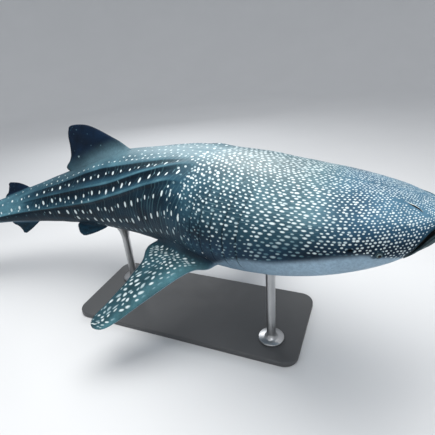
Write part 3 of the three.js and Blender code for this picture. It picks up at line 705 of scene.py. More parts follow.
def body_light(at, angle):
    """How light the back and the flanks are at each point, from 0 to 1."""
    head = 0.34 + 0.42 * smooth(angle, -2, 45) + 0.06 * wander(at * 40, angle / 18, 31)
    head += 0.12 * smooth(angle, 10, 40) * fade(at, 0.03, 0.09)
    head -= 0.22 * np.exp(-((angle + 2) / 9) ** 2) * fade(at, 0.12, 0.2)
    shoulder = 0.2 + 0.16 * smooth(angle, -25, 10) + 0.4 * smooth(angle, 20, 72)
    shoulder += 0.1 * wander(at * 30, angle / 14, 32)
    light = mix(head, shoulder, smooth(at, 0.13, 0.25))
    bands = bands_with_ridge_light(at, angle) + 0.05 * wander(at * 60, angle / 10, 33)
    light = mix(light, bands, smooth(at, 0.25, 0.32))
    keel = ridge_angles[0](at)
    stalk = 0.82 + 0.05 * wander(at * 60, angle / 12, 34)
    # Painted shade: the stalk is darkened below its keel
    stalk = mix(0.14, stalk, smooth(angle, keel - 1.5, keel + 1.5))
    return np.clip(mix(light, stalk, smooth(at, 0.6, 0.68)), 0, 1)


def upper_colour(at, angle):
    """Colour of the back and the flanks."""
    light = body_light(at, angle)
    colour = tint(DARK, DUSK, smooth(light, 0.0, 0.3))
    colour = tint(colour, TEAL, smooth(light, 0.22, 0.66))
    colour = tint(colour, PALE, smooth(light, 0.62, 1.0))
    back = smooth(angle, 48, 78) * fade(at, 0.5, 0.66) * smooth(at, 0.05, 0.2)
    colour = tint(colour, BACK_GREY, back * 0.6)
    # Painted highlight: the crown is made paler where light from above falls on it
    crown_highlight = smooth(angle, 66, 84) * smooth(at, 0.1, 0.2) * fade(at, 0.34, 0.46)
    colour = tint(colour, CROWN_HIGHLIGHT, crown_highlight * 0.7)
    hue = tint(HEAD_TINT, SHOULDER_TINT, smooth(at, 0.07, 0.13) * smooth(angle, -5, 15))
    colour = colour * tint(hue, np.ones(3), smooth(at, 0.2, 0.28))
    # Painted shadow of the first dorsal fin: the body is darkened from 0.48 to 0.7 of the length
    return tint(colour, DARK, 0.4 * smooth(at, 0.48, 0.54) * fade(at, 0.62, 0.7))


def belly_and_jaw(at, angle, colour):
    """The colour with the pale belly and the jaw laid over it, and the share of belly."""
    edge = belly_edge(at) + 2.2 * wander(at * 60, sides * 2, 35)
    belly = fade(angle, edge - 5, edge + 3)
    # Painted shade: the belly is darkened towards DUSK behind the head and towards the tail
    dim = 0.5 * smooth(at, 0.11, 0.2) + 0.3 * smooth(at, 0.5, 0.62)
    colour = tint(colour, tint(BELLY_WHITE_IN_SHADE, DUSK * 2, dim), belly)
    jaw = smooth(lower_lip_line(at) - plain[..., 2] / LENGTH, -0.002, 0.0)
    jaw = jaw * smooth(angle, -62, -40) * fade(at, MOUTH_CORNER - 0.003, MOUTH_CORNER + 0.003)
    return tint(colour, JAW_OLIVE, jaw), belly


def body_ground():
    """Ground colour of the body before its spots, and the share of belly at each point."""
    colour, belly = belly_and_jaw(leaning, angles, upper_colour(leaning, angles))
    slit_shade = mix(0.95, 0.45, smooth(angles, -10, 30))
    colour = tint(colour, DARK * 0.6, np.clip(gill_depth * slit_shade, 0, 1))
    # Painted shade: the spiracles and nostrils are darkened inside
    for side in (RIGHT, LEFT):
        colour = tint(colour, SLIT_BLACK, fade(from_spiracle(side), 0.45, 0.95))
        colour = tint(colour, SLIT_BLACK, fade(from_nostril(side), 0.5, 1.0))
        colour = tint(colour, DUSK, 0.7 * fade(from_eye(side), 0.04, 0.075) * (angles > -8))
    return colour, belly


# Rows of small spots over head and shoulders, which spread as they run back
row_spacing = through([
    (0, 0.021), (0.04, 0.0225), (0.08, 0.0252), (0.12, 0.03), (0.17, 0.0355), (0.22, 0.041),
    (0.3, 0.052),
])
row_stretch = through([(0, 1.05), (0.08, 1.15), (0.13, 1.5), (0.18, 1.65), (0.24, 1.4), (0.3, 1.2)])
OTHER_SIDE_SHIFT = 37.4


def rows_place():
    """Place of each point along and up the rows of small spots, counted in spots."""
    fine = np.linspace(0, 1, 4000)
    cells = np.cumsum(np.gradient(fine) * LENGTH / (row_spacing(fine) * row_stretch(fine)))
    along = np.interp(leaning, fine, cells)
    steps = np.linalg.norm(np.diff(plain[:, :SIDE_COLUMNS + 1], axis=1), axis=-1)
    arcs = np.concatenate([np.zeros((len(steps), 1)), np.cumsum(steps, axis=1)], axis=1)
    arcs -= np.array([[np.interp(0, turn, arc)] for turn, arc in zip(half_turns, arcs)])
    up = np.concatenate([arcs, arcs[:, -2:0:-1]], axis=1) / row_spacing(leaning)
    up = up + 0.45 * wander(leaning * 16, sides * angles / 30, 51)
    along = along + 0.5 * wander(leaning * 14, sides * angles / 34, 52)
    return along + OTHER_SIDE_SHIFT * (sides > 0), up


def rows_strength(at, angle):
    """How strongly the rows of small spots show at each point."""
    edge = belly_edge(at)
    end = 0.225 + 0.0004 * angle + 0.012 * wander(at * 50, sides * angle / 10, 54)
    strength = smooth(angle, edge - 1, edge + 2.5) * fade(at, end - 0.012, end + 0.02)
    strength = strength * fade(angle, 89.5, 89.8)
    dim = mix(0.5, 1.0, smooth(angle, edge + 4, edge + 42))
    strength = strength * mix(1, dim, smooth(at, 0.08, 0.13))
    strength = strength * mix(1, 0.72, smooth(at, 0.16, 0.22) * fade(angle, 30, 60))
    jaw = (plain[..., 2] / LENGTH < lower_lip_line(at)) & (at < MOUTH_CORNER)
    strength = strength * ~jaw * smooth(off_the_scar(), SCAR_WIDTH * 1.4, SCAR_WIDTH * 2.6)
    for side in (RIGHT, LEFT):
        strength = strength * smooth(from_eye(side), 0.034, 0.044)
        strength = strength * smooth(from_spiracle(side), 0.9, 1.4)
    return strength


def lay_rows():
    """Gives the body its rows of small spots, its weave and its bars."""
    at, angle = leaning, angles
    size = 0.25 + 0.012 * wander(at * 60, sides * angle / 13, 53)
    size = size * mix(1, 0.8, smooth(at, 0.15, 0.2) * fade(angle, 35, 65))
    body.lattice = np.stack([*rows_place(), size], -1)
    weave = smooth(at, 0.08, 0.12) * fade(at, 0.2, 0.25) * smooth(angle, 12, 34)
    body.marks = np.stack([rows_strength(at, angle), weave, bar_zone * (1 - belly_share)], -1)
    body.bar_at = bar_place


def stamp_body(at, angle, side, length, width, tone):
    row = row_of(at)
    body.stamp(row, column_of(row, angle, side), forward_at(at), length, width, tone)


# Rows of upright spots along the flank: the band that they run in, their share of the way up it,
# or degrees under the lowest ridge, first and last station, spacing, half sizes and tone
FLANK_ROWS = [
    ("upper", 0.56, 0.27, 0.8, 0.0195, (0.015, 0.022), 0.95),
    ("lower", 0.5, 0.275, 0.84, 0.0205, (0.0165, 0.028), 1.0),
    ("lower", 0.14, 0.5, 0.84, 0.0215, (0.012, 0.018), 0.7),
    ("belly", 13, 0.255, 0.62, 0.0205, (0.0165, 0.03), 1.0),
    ("belly", 32, 0.245, 0.56, 0.0195, (0.016, 0.031), 0.9),
    ("belly", 50, 0.25, 0.52, 0.018, (0.014, 0.03), 0.6),
    # The low tone of the spots under the keel of the stalk is painted shade
    ("belly", 16, 0.62, 0.8, 0.02, (0.012, 0.02), 0.3),
    ("back", 0.22, 0.26, 0.62, 0.0125, (0.014, 0.013), 0.9),
    ("back", 0.5, 0.27, 0.44, 0.0125, (0.016, 0.012), 0.85),
    ("back", 0.8, 0.27, 0.42, 0.014, (0.015, 0.012), 0.8),
    ("back", 0.55, 0.565, 0.78, 0.017, (0.012, 0.015), 0.75),
]


def band_angle(band, place, at):
    """Angle up the side of a row of spots at a station."""
    low, middle, upper = (crest(at) for crest in ridge_angles)
    if band == "belly":
        return float(low - place)
    start, end = {"lower": (low, middle), "upper": (middle, upper), "back": (upper, 90)}[band]
    return float(mix(start, end, place))


def row_spots(side, seed, band, place, first, last, spacing, size, tone):
    """One row of upright oval spots along the flank."""
    rng = np.random.default_rng(SEED * 7 + seed + int(side) * 50)
    at = first + rng.uniform(0, spacing / 2)
    while at < last:
        angle = band_angle(band, place, at) + rng.normal() * 1.1
        grow = rng.uniform(0.75, 1.2)
        strength = tone * rng.uniform(0.75, 1.0)
        taper = float(1 - 0.35 * smooth(at, 0.55, 0.8))
        stamp_body(at, angle, side, size[0] * grow * taper, size[1] * grow * taper, strength)
        if rng.uniform() < 0.6:
            between = at + spacing * rng.uniform(0.42, 0.58)
            stamp_body(between, angle + rng.normal() * 3, side, size[0] * 0.5 * taper,
                       size[1] * rng.uniform(0.5, 0.9) * taper, strength * 0.5)
        at += spacing * rng.uniform(0.86, 1.14)


def shoulder_spots(side):
    """Sparse larger spots between the gills and the first rows of the flank."""
    rng = np.random.default_rng(SEED * 3 + int(side))
    kept = []
    for _ in range(900):
        at, angle = rng.uniform(0.215, 0.29), rng.uniform(-42, 64)
        if angle < float(belly_edge(at)) + 3:
            continue
        here = np.array((at * LENGTH, angle * 0.0105))
        room = rng.uniform(0.06, 0.1)
        if any(np.hypot(*(here - other)) < room for other in kept):
            continue
        kept.append(here)
        grow = rng.uniform(0.6, 1.1)
        long = 0.0095 * grow * (1 + 0.9 * float(smooth(angle, 20, 60)))
        stamp_body(at, angle, side, long, 0.0125 * grow, rng.uniform(0.4, 1.0))


# Markings of the fins
def body_colour_under(loft):
    """Ground colour of the body beneath each point of a fin."""
    row = np.interp(loft.at, stations[:, 0], np.arange(len(stations))).astype(int)
    places = zip(row.ravel(), loft.angle.ravel(), loft.over_side.ravel())
    column = np.array([int(column_of(*place)) for place in places]).reshape(row.shape)
    return body.ground[row, column % (2 * SIDE_COLUMNS)]


def upper_face(loft):
    """1 on the upper face of a paired fin and all over an upright one, and 0 elsewhere."""
    return np.where(loft.face * loft.side >= 0, 1.0, 0.0)


def fin_ground(loft, colour, reach, under=None, front=None):
    """Ground of a fin, which takes the body's own colour where it grows out of it."""
    base = np.tile(colour, (*loft.spot.shape, 1))
    if front is not None:
        base = tint(base, front, fade(loft.share, 0.05, 0.4))
    base = base * (1 + 0.14 * wander(loft.span * 14, loft.share * 6, 41))[..., None]
    base = tint(base, DARK * 0.8, smooth(loft.share, 0.93, 1.0) * 0.6)
    if under is not None:
        base = tint(under, base, upper_face(loft))
    loft.ground = tint(body_colour_under(loft), base, smooth(loft.height, 0.0, reach))


def fin_spots(loft, cell, size, strength, clear_front):
    """Small spots over a fin, fainter on its lower face."""
    across = loft.chord / cell[1] + 0.22 * wander(loft.span * 9, loft.share * 5, 42)
    along = loft.along / cell[0] + 0.22 * wander(loft.span * 8, loft.share * 6, 43)
    along = along + np.where(loft.face > 0, 0.0, 51.3) + 17.1 * loft.side
    loft.lattice = np.stack([along, across, np.full_like(across, size)], -1)
    amount = smooth(loft.share, clear_front, clear_front + 0.14) * fade(loft.share, 0.9, 0.96)
    amount = amount * smooth(loft.height, 0.03, 0.08) * fade(loft.span, 0.95, 0.99)
    loft.marks[..., 0] = strength * amount * mix(0.25, 1.0, upper_face(loft))


# Faint spots of the dark fins: share of the chord, share of the span, radius in metres, tone
FAINT_SPOTS = [
    (0.76, 0.3, 0.017, 0.5), (0.4, 0.84, 0.006, 0.3), (0.42, 0.7, 0.009, 0.34),
    (0.66, 0.66, 0.008, 0.28), (0.84, 0.46, 0.009, 0.3), (0.4, 0.36, 0.01, 0.34),
    (0.5, 0.5, 0.008, 0.28), (0.6, 0.34, 0.009, 0.3),
    (0.25, 0.28, 0.011, 0.36), (0.24, 0.52, 0.008, 0.28), (0.72, 0.8, 0.006, 0.26),
]


def faint_spots(loft, scale):
    rows = loft.spot.shape[0]
    for face in (1, -1):
        columns = np.where(loft.face[0] == face)[0]
        order = columns[np.argsort(loft.share[0, columns])]
        for share, span, radius, tone in FAINT_SPOTS:
            row = span * (rows - 1)
            col = float(np.interp(share, loft.share[0, order], order))
            along = loft.points[int(row) + 1, int(col)] - loft.points[int(row), int(col)]
            loft.stamp(row, col, along / np.linalg.norm(along), radius * scale, radius * scale, tone)


# Small forms of the head
def tube(name, path, radii, sides_round=14):
    """Loft along a path of points, in the animal's own frame."""
    path = np.asarray(path)
    tangent = np.gradient(path, axis=0)
    tangent /= np.linalg.norm(tangent, axis=1)[:, None]
    across = np.cross(tangent, UP)
    across /= np.maximum(np.linalg.norm(across, axis=1), 1e-6)[:, None]
    over = np.cross(across, tangent)
    turn = np.linspace(0, 2 * np.pi, sides_round, endpoint=False)
    ring = np.cos(turn)[None, :, None] * across[:, None] + np.sin(turn)[None, :, None] * over[:, None]
    points = path[:, None] + ring * np.asarray(radii)[:, None, None]
    length = np.linalg.norm(np.diff(path, axis=0), axis=1).sum()
    return Loft(name, points, (length, 2 * np.pi * max(radii)))


def lip_path(rise, sunk, count=60):
    """Points of the upper lip, or the lower where rise is -1, from the right corner to the left."""
    line = upper_lip_line if rise > 0 else lower_lip_line
    first = line(LIP_LINE[-1][0]) * LENGTH + rise * LIP_OUT
    reach = SECTIONS[0][1 if first > 0 else 2] * LENGTH
    front = NOSE * (first / reach) ** 2 * 1.001
    at = front + (MOUTH_CORNER - 0.0012 - front) * np.linspace(1, 0, count) ** 2
    angle = angle_of_height(at, line(at) * LENGTH + rise * LIP_OUT)
    right = skin_section(at, angle, RIGHT, -sunk)
    left = skin_section(at[::-1], angle[::-1], LEFT, -sunk)
    whole = np.vstack([right[:-1], left])
    for _ in range(6):
        whole[1:-1] = (whole[:-2] + 2 * whole[1:-1] + whole[2:]) / 4
    return whole


def lip(name, rise):
    path = lip_path(rise, LIP_RADIUS * 0.25)
    share = np.linspace(0, 1, len(path))
    radii = LIP_RADIUS * (0.45 + 0.55 * np.sin(np.pi * share) ** 0.5)
    loft = tube(name, path, radii)
    round_ = np.linspace(0, 2 * np.pi, loft.points.shape[1], endpoint=False)
    outer = smooth(rise * np.sin(round_), -0.3, 0.5)
    skin_side = tint(DUSK * 1.3, mix(TEAL, PALE, 0.4), smooth(np.sin(np.pi * share), 0.5, 1.0))
    if rise < 0:
        skin_side = np.tile(JAW_OLIVE, (len(path), 1))
    # The side of each lip that faces into the mouth takes LIP_GREY, painted shade of the mouth's opening
    loft.ground = tint(LIP_GREY, skin_side[:, None], outer)
    return loft


def scar(name, width, degrees_above, sunk, colour):
    """The dark cut of the old scar on the right of the head, or the white rim some degrees above."""
    knots = np.array(SCAR)
    t = np.linspace(0, 1, 70)
    bend = through(np.column_stack([np.linspace(0, 1, len(knots)), knots[:, 1]]))
    at = np.interp(t, np.linspace(0, 1, len(knots)), knots[:, 0])
    path = skin_section(at, bend(t) + degrees_above, RIGHT, -sunk)
    swell = np.sin(np.pi * t) ** 0.6 * mix(0.3, 1, smooth(t, 0.1, 0.6)) + 0.04
    loft = tube(name, path, width * swell, 10)
    loft.ground[:] = colour
    return loft


def eye_frame(side):
    """Centre of an eye's opening, and the directions out of it, along it and over it."""
    outward = outward_at(EYE_AT, EYE_ANGLE, side)
    along = np.cross(UP, outward)
    along /= np.linalg.norm(along)
    return skin_section(EYE_AT, EYE_ANGLE, side), outward, along, np.cross(outward, along)


def eyelid(name, side):
    """Rim of skin round the eye."""
    centre, outward, along, over = eye_frame(side)
    turn = np.linspace(0, 2 * np.pi, 56)
    circle = np.cos(turn)[:, None] * along + np.sin(turn)[:, None] * over
    round_ = np.linspace(0, 2 * np.pi, 16, endpoint=False)
    radius = LID_WIDE + LID_TALL * np.cos(round_)
    lift = LID_TALL * np.sin(round_) * 0.9 - LID_SUNK
    points = centre + circle[:, None] * radius[None, :, None] + outward * lift[None, :, None]
    loft = Loft(name, points, (2 * np.pi * LID_WIDE, 2 * np.pi * LID_TALL))
    loft.ground[:] = tint(LID_GREY, DUSK, smooth(np.cos(round_), -0.5, 0.35))
    return loft


def barbel(name, side):
    outward = outward_at(NOSTRIL_AT, NOSTRIL_ANGLE, side)
    root = skin_section(NOSTRIL_AT - 0.0022, NOSTRIL_ANGLE - 4, side, -0.008)
    share = np.linspace(0, 1, 16)[:, None]
    path = root + outward * BARBEL_LENGTH * 0.85 * share - UP * BARBEL_LENGTH * 0.5 * share ** 2
    loft = tube(name, path, 0.011 - 0.008 * share[:, 0] ** 0.8)
    loft.ground[:] = LIP_GREY * 0.8
    return loft


def in_gape():
    """Faces of the body grid that the open mouth takes away."""
    height = plain[..., 2] / LENGTH
    margin = LIP_RADIUS * 0.5 / LENGTH
    inside = (height < upper_lip_line(leaning) + margin) & (height > lower_lip_line(leaning) - margin)
    inside &= leaning < MOUTH_CORNER - 0.0015
    return inside[:-1] & inside[1:]


# Building the skin
body = Loft("body", skin_section(leaning, angles, sides, body_lift()), (LENGTH * BODY_END, BODY_GIRTH))
body.cut = in_gape()
body.ground, belly_share = body_ground()
lay_rows()
for side in (RIGHT, LEFT):
    shoulder_spots(side)
    for seed, row in enumerate(FLANK_ROWS):
        row_spots(side, seed, *row)

first_dorsal = fin_grid("first_dorsal", FIRST_DORSAL, 96)
second_dorsal = fin_grid("second_dorsal", SECOND_DORSAL, 44, ripple=0.002)
anal = fin_grid("anal", ANAL, 44, ripple=0.002)
caudal_upper = fin_grid("caudal_upper", CAUDAL_UPPER, 150)
caudal_lower = fin_grid("caudal_lower", CAUDAL_LOWER, 100)
pectorals = [fin_grid(f"pectoral_{k}", PECTORAL, 140, side) for k, side in enumerate((RIGHT, LEFT))]
pelvics = [fin_grid(f"pelvic_{k}", PELVIC, 48, side, 0.002) for k, side in enumerate((RIGHT, LEFT))]

fin_ground(first_dorsal, FIN_NAVY, 0.2)
fin_ground(second_dorsal, FIN_NAVY, 0.025)
fin_ground(anal, DUSK, 0.06)
for loft in (caudal_upper, caudal_lower):
    fin_ground(loft, DUSK, 0.14)
    fin_spots(loft, (0.12, 0.1), 0.13, 0.75, 0.08)
for loft in pectorals:
    fin_ground(loft, FIN_GREEN, 0.12, BELLY_WHITE_IN_SHADE * 0.9, FIN_FRONT)
    fin_spots(loft, (0.088, 0.062), 0.245, 0.85, 0.02)
for loft in pelvics:
    fin_ground(loft, DUSK, 0.05, BELLY_WHITE_IN_SHADE * 0.6)
faint_spots(first_dorsal, 1.0)
for loft in (second_dorsal, anal, *pelvics):
    faint_spots(loft, 0.6)

fins = [first_dorsal, second_dorsal, anal, caudal_upper, caudal_lower, *pectorals, *pelvics]
small_forms = [lip("upper_lip", 1), lip("lower_lip", -1)]
small_forms += [scar("scar_cut", SCAR_WIDTH, 0.0, 0.006, SLIT_BLACK),
                scar("scar_rim", SCAR_WIDTH * 0.4, 1.9, 0.001, SCAR_WHITE)]
for k, side in enumerate((RIGHT, LEFT)):
    small_forms += [eyelid(f"lid_{k}", side), barbel(f"barbel_{k}", side)]
skin_lofts = [body, *fins, *small_forms]


def shelves(lofts, margin=0.03):
    """Places each loft's unrolled rectangle in one square without overlap, in metres."""
    width = LENGTH
    places, x, y, tall = {}, 0.0, 0.0, 0.0
    for loft in sorted(lofts, key=lambda item: -item.size[1]):
        long, high = loft.size
        if x + long > width and x > 0:
            x, y, tall = 0.0, y + tall + margin, 0.0
        places[loft.name] = (x, y)
        x += long + margin
        tall = max(tall, high)
    return places, max(width, y + tall)


def grid_faces(loft, start):
    """Corner numbers of a loft's faces, and the rings of points that close its ends."""
    rows, cols = loft.points.shape[:2]
    index = start + np.arange(rows * cols).reshape(rows, cols)
    beside = np.roll(index, -1, axis=1)
    faces = np.stack([index[:-1], beside[:-1], beside[1:], index[1:]], -1)
    first = [] if loft.cut[0].any() else [index[0][::-1]]
    return faces[~loft.cut].reshape(-1, 4), [*first, index[-1]]


def grid_map(loft, place, square):
    """Map coordinates for the corners of a loft's faces, and for its end rings."""
    rows, cols = loft.points.shape[:2]
    u = (place[0] + loft.size[0] * np.linspace(0, 1, rows)) / square
    v = (place[1] + loft.size[1] * np.linspace(0, 1, cols + 1)) / square
    grid = np.stack(np.meshgrid(u, v, indexing="ij"), -1)
    corners = np.stack([grid[:-1, :-1], grid[:-1, 1:], grid[1:, 1:], grid[1:, :-1]], 2)
    first = [] if loft.cut[0].any() else [u[0]]
    rings = [np.column_stack([np.full(cols, edge), v[:-1]]) for edge in (*first, u[-1])]
    return corners[~loft.cut].reshape(-1, 2), rings


def add_fields(mesh, lofts):
    """Gives each point of a mesh the colour and marks that its loft carries."""
    ground = np.concatenate([loft.ground.reshape(-1, 3) for loft in lofts])
    ground = np.column_stack([ground, np.ones(len(ground))])
    colour = mesh.color_attributes.new("ground", "FLOAT_COLOR", "POINT")
    colour.data.foreach_set("color", ground.astype(np.float32).ravel())
    for field in ("spot", "tone", "bar_at", "lattice", "marks"):
        values = np.concatenate([getattr(loft, field).ravel() for loft in lofts])
        single = field in ("spot", "tone", "bar_at")
        attribute = mesh.attributes.new(field, "FLOAT" if single else "FLOAT_VECTOR", "POINT")
        attribute.data.foreach_set("value" if single else "vector", values.astype(np.float32))


def linked(name, data):
    """A new object in the scene."""
    made = bpy.data.objects.new(name, data)
    bpy.context.scene.collection.objects.link(made)
    return made


def mesh_object(name, lofts):
    """One object from several lofts, with their colours, marks and a map for baking."""
    places, square = shelves(lofts)
    starts = np.cumsum([0] + [loft.spot.size for loft in lofts])
    faces = [grid_faces(loft, start) for loft, start in zip(lofts, starts)]
    maps = [grid_map(loft, places[loft.name], square) for loft in lofts]
    quads = np.concatenate([part for part, _ in faces])
    caps = [ring for _, rings in faces for ring in rings]
    uv = np.concatenate([part for part, _ in maps] + [ring for _, rings in maps for ring in rings])
    verts = to_world(np.concatenate([loft.points.reshape(-1, 3) for loft in lofts]))
    mesh = bpy.data.meshes.new(name)
    mesh.vertices.add(len(verts))
    mesh.vertices.foreach_set("co", verts.astype(np.float32).ravel())
    loops = np.concatenate([quads.ravel(), *caps])
    mesh.loops.add(len(loops))
    mesh.loops.foreach_set("vertex_index", loops.astype(np.int32))
    totals = [4] * len(quads) + [len(cap) for cap in caps]
    firsts = np.concatenate([[0], np.cumsum(totals)[:-1]])
    mesh.polygons.add(len(totals))
    mesh.polygons.foreach_set("loop_start", firsts.astype(np.int32))
    mesh.polygons.foreach_set("use_smooth", np.ones(len(totals), bool))
    layer = mesh.uv_layers.new(name="OFBake")
    layer.uv.foreach_set("vector", uv.astype(np.float32).ravel())
    add_fields(mesh, lofts)
    mesh.update(calc_edges=True)
    mesh.validate()
    return linked(name, mesh)


# Materials
class Shader:
    """A node material under construction."""

    def __init__(self, name):
        self.material = bpy.data.materials.new(name)
        self.material.use_nodes = True
        self.tree = self.material.node_tree
        self.surface = self.tree.nodes["Principled BSDF"]

    def feed(self, socket, value):
        """Links a socket to another one, or sets its value."""
        if isinstance(value, bpy.types.NodeSocket):
            self.tree.links.new(value, socket)
        else:
            socket.default_value = value

    def node(self, kind, **inputs):
        made = self.tree.nodes.new(kind)
        for key, value in inputs.items():
            socket = key.replace("_", " ")
            if socket in made.inputs:
                self.feed(made.inputs[socket], value)
            else:
                setattr(made, key, value)
        return made

    def attribute(self, name, output="Fac"):
        made = self.node("ShaderNodeAttribute")
        made.attribute_name = name
        return made.outputs[output]

    def parts(self, vector):
        made = self.tree.nodes.new("ShaderNodeSeparateXYZ")
        self.tree.links.new(vector, made.inputs[0])
        return made.outputs

    def noise(self, vector, scale, detail=3.0, roughness=0.55):
        made = self.node("ShaderNodeTexNoise", Scale=scale, Detail=detail, Roughness=roughness)
        self.tree.links.new(vector, made.inputs["Vector"])
        return made.outputs["Fac"]

    def math(self, operation, a, b=None, c=None, clamp=False):
        made = self.tree.nodes.new("ShaderNodeMath")
        made.operation = operation
        made.use_clamp = clamp
        for k, value in enumerate((a, b, c)):
            if value is not None:
                self.feed(made.inputs[k], value)
        return made.outputs[0]

    def ramp(self, value, low, high, start=0.0, end=1.0):
        made = self.tree.nodes.new("ShaderNodeMapRange")
        made.interpolation_type = "SMOOTHSTEP"
        self.tree.links.new(value, made.inputs["Value"])
        for key, number in (("From Min", low), ("From Max", high), ("To Min", start), ("To Max", end)):
            made.inputs[key].default_value = number
        return made.outputs["Result"]

    def mix(self, share, a, b, blend="MIX"):
        made = self.tree.nodes.new("ShaderNodeMix")
        made.data_type = "RGBA"
        made.blend_type = blend
        for k, value in ((0, share), (6, a), (7, b)):
            self.feed(made.inputs[k], value)
        return made.outputs[2]

    def bump(self, height, distance, strength=1.0, under=None):
        made = self.node("ShaderNodeBump", Distance=distance, Strength=strength)
        self.tree.links.new(height, made.inputs["Height"])
        if under is not None:
            self.tree.links.new(under, made.inputs["Normal"])
        return made.outputs["Normal"]

    def place(self):
        return self.node("ShaderNodeTexCoord").outputs["Object"]

    def link(self, output, name):
        self.tree.links.new(output, self.surface.inputs[name])

    def set(self, **values):
        for key, value in values.items():
            self.surface.inputs[key.replace("_", " ")].default_value = value


def rgba(colour):
    return (*colour, 1.0)


SPOT_CREAM = (0.6, 0.69, 0.71)
SPOT_BLUE = (0.12, 0.28, 0.34)
LINE_TEAL = (0.06, 0.135, 0.155)
WEAVE_GREY = (0.14, 0.24, 0.27)


def lattice_spots(shader, ragged):
    """Rows of spots from the lattice coordinates: how much of a spot, and its tone."""
    place = shader.parts(shader.attribute("lattice", "Vector"))
    marks = shader.parts(shader.attribute("marks", "Vector"))
    slant = shader.math("MULTIPLY_ADD", place[1], 0.5, place[0])
    slanted = shader.node("ShaderNodeCombineXYZ", X=slant, Y=place[1])
    cells = shader.tree.nodes.new("ShaderNodeTexVoronoi")
    cells.voronoi_dimensions = "2D"
    cells.inputs["Scale"].default_value = 1.0
    cells.inputs["Randomness"].default_value = 0.44
    shader.tree.links.new(slanted.outputs[0], cells.inputs["Vector"])
    centre = shader.parts(cells.outputs["Position"])
    off_v = shader.math("SUBTRACT", place[1], centre[1])
    off_u = shader.math("SUBTRACT", shader.math("MULTIPLY_ADD", centre[1], -0.5, centre[0]), place[0])
    away = shader.math("SQRT", shader.math("ADD", shader.math("MULTIPLY", off_u, off_u),
                                           shader.math("MULTIPLY", off_v, off_v)))
    chance = shader.node("ShaderNodeSeparateColor", Color=cells.outputs["Color"])
    grow = shader.math("ADD", shader.math("MULTIPLY_ADD", chance.outputs[0], 0.46, 0.7),
                       shader.ramp(chance.outputs[2], 0.86, 0.88, 0.0, 0.25))
    reach = shader.math("MULTIPLY", place[2], grow)
    value = shader.math("SUBTRACT", 1.0, shader.math("DIVIDE", away, reach))
    value = shader.math("ADD", value, shader.math("MULTIPLY_ADD", ragged, 0.5, -0.25))
    spot = shader.ramp(value, -0.42, 0.44)
    vary = shader.math("MULTIPLY_ADD", chance.outputs[1], 0.5, 0.6)
    tone = shader.math("MULTIPLY", marks[0], vary, clamp=True)
    return spot, tone, place, marks


def shaded_ground(shader, place, mottle, grain):
    """The ground colour with mottling, grain and flecks."""
    shade = shader.math("MULTIPLY_ADD", mottle, 0.4, 0.8)
    shade = shader.math("MULTIPLY", shade, shader.math("MULTIPLY_ADD", grain, 0.4, 0.8))
    flecks = shader.noise(place, 36.0, 3.0, 0.7)
    shade = shader.math("MULTIPLY", shade, shader.math("MULTIPLY_ADD", flecks, 0.7, 0.65))
    level = shader.node("ShaderNodeCombineColor", Red=shade, Green=shade, Blue=shade)
    ground = shader.attribute("ground", "Color")
    return shader.mix(1.0, ground, level.outputs["Color"], "MULTIPLY")


def ragged_line(shader, place, ragged, width):
    """Distance from the middle of the nearest line, with an uneven edge."""
    away = shader.math("ABSOLUTE", shader.math("SUBTRACT", shader.math("FRACT", place), 0.5))
    return shader.math("ADD", away, shader.math("MULTIPLY_ADD", ragged, width, -width / 2))


def weave_share(shader, lattice, marks, ragged, mottle):
    """Share of the fine lines that run between the rows of spots."""
    line = ragged_line(shader, lattice[1], ragged, 0.24)
    line = shader.math("MULTIPLY", shader.ramp(line, 0.02, 0.14, 1.0, 0.0), marks[1])
    return shader.math("MULTIPLY", line, shader.ramp(mottle, 0.35, 0.65, 0.2, 0.6))


def bar_share(shader, lattice, marks, ragged):
    """Share of the thin broken bars that cross the flank."""
    bar_at = shader.attribute("bar_at")
    line = ragged_line(shader, bar_at, ragged, 0.12)
    bar = shader.math("MULTIPLY", shader.math("FLOOR", bar_at), 3.7)
    row = shader.node("ShaderNodeCombineXYZ", X=bar, Y=shader.math("MULTIPLY", lattice[1], 0.16))
    breaks = shader.noise(row.outputs[0], 1.0, 2.0)
    line = shader.ramp(line, 0.02, 0.2, 1.0, 0.0)
    line = shader.math("MULTIPLY", line, shader.ramp(breaks, 0.4, 0.66))
    return shader.math("MULTIPLY", line, shader.math("MULTIPLY", marks[2], 0.75))


def skin_relief(shader, place, grain):
    """Wrinkles, grain and pores."""
    normal = shader.bump(shader.noise(place, 42.0, 4.0, 0.62), 0.004, 0.5)
    normal = shader.bump(grain, 0.0016, 0.5, normal)
    shader.link(shader.bump(shader.noise(place, 420.0, 2.0, 0.7), 0.0007, 0.5, normal), "Normal")


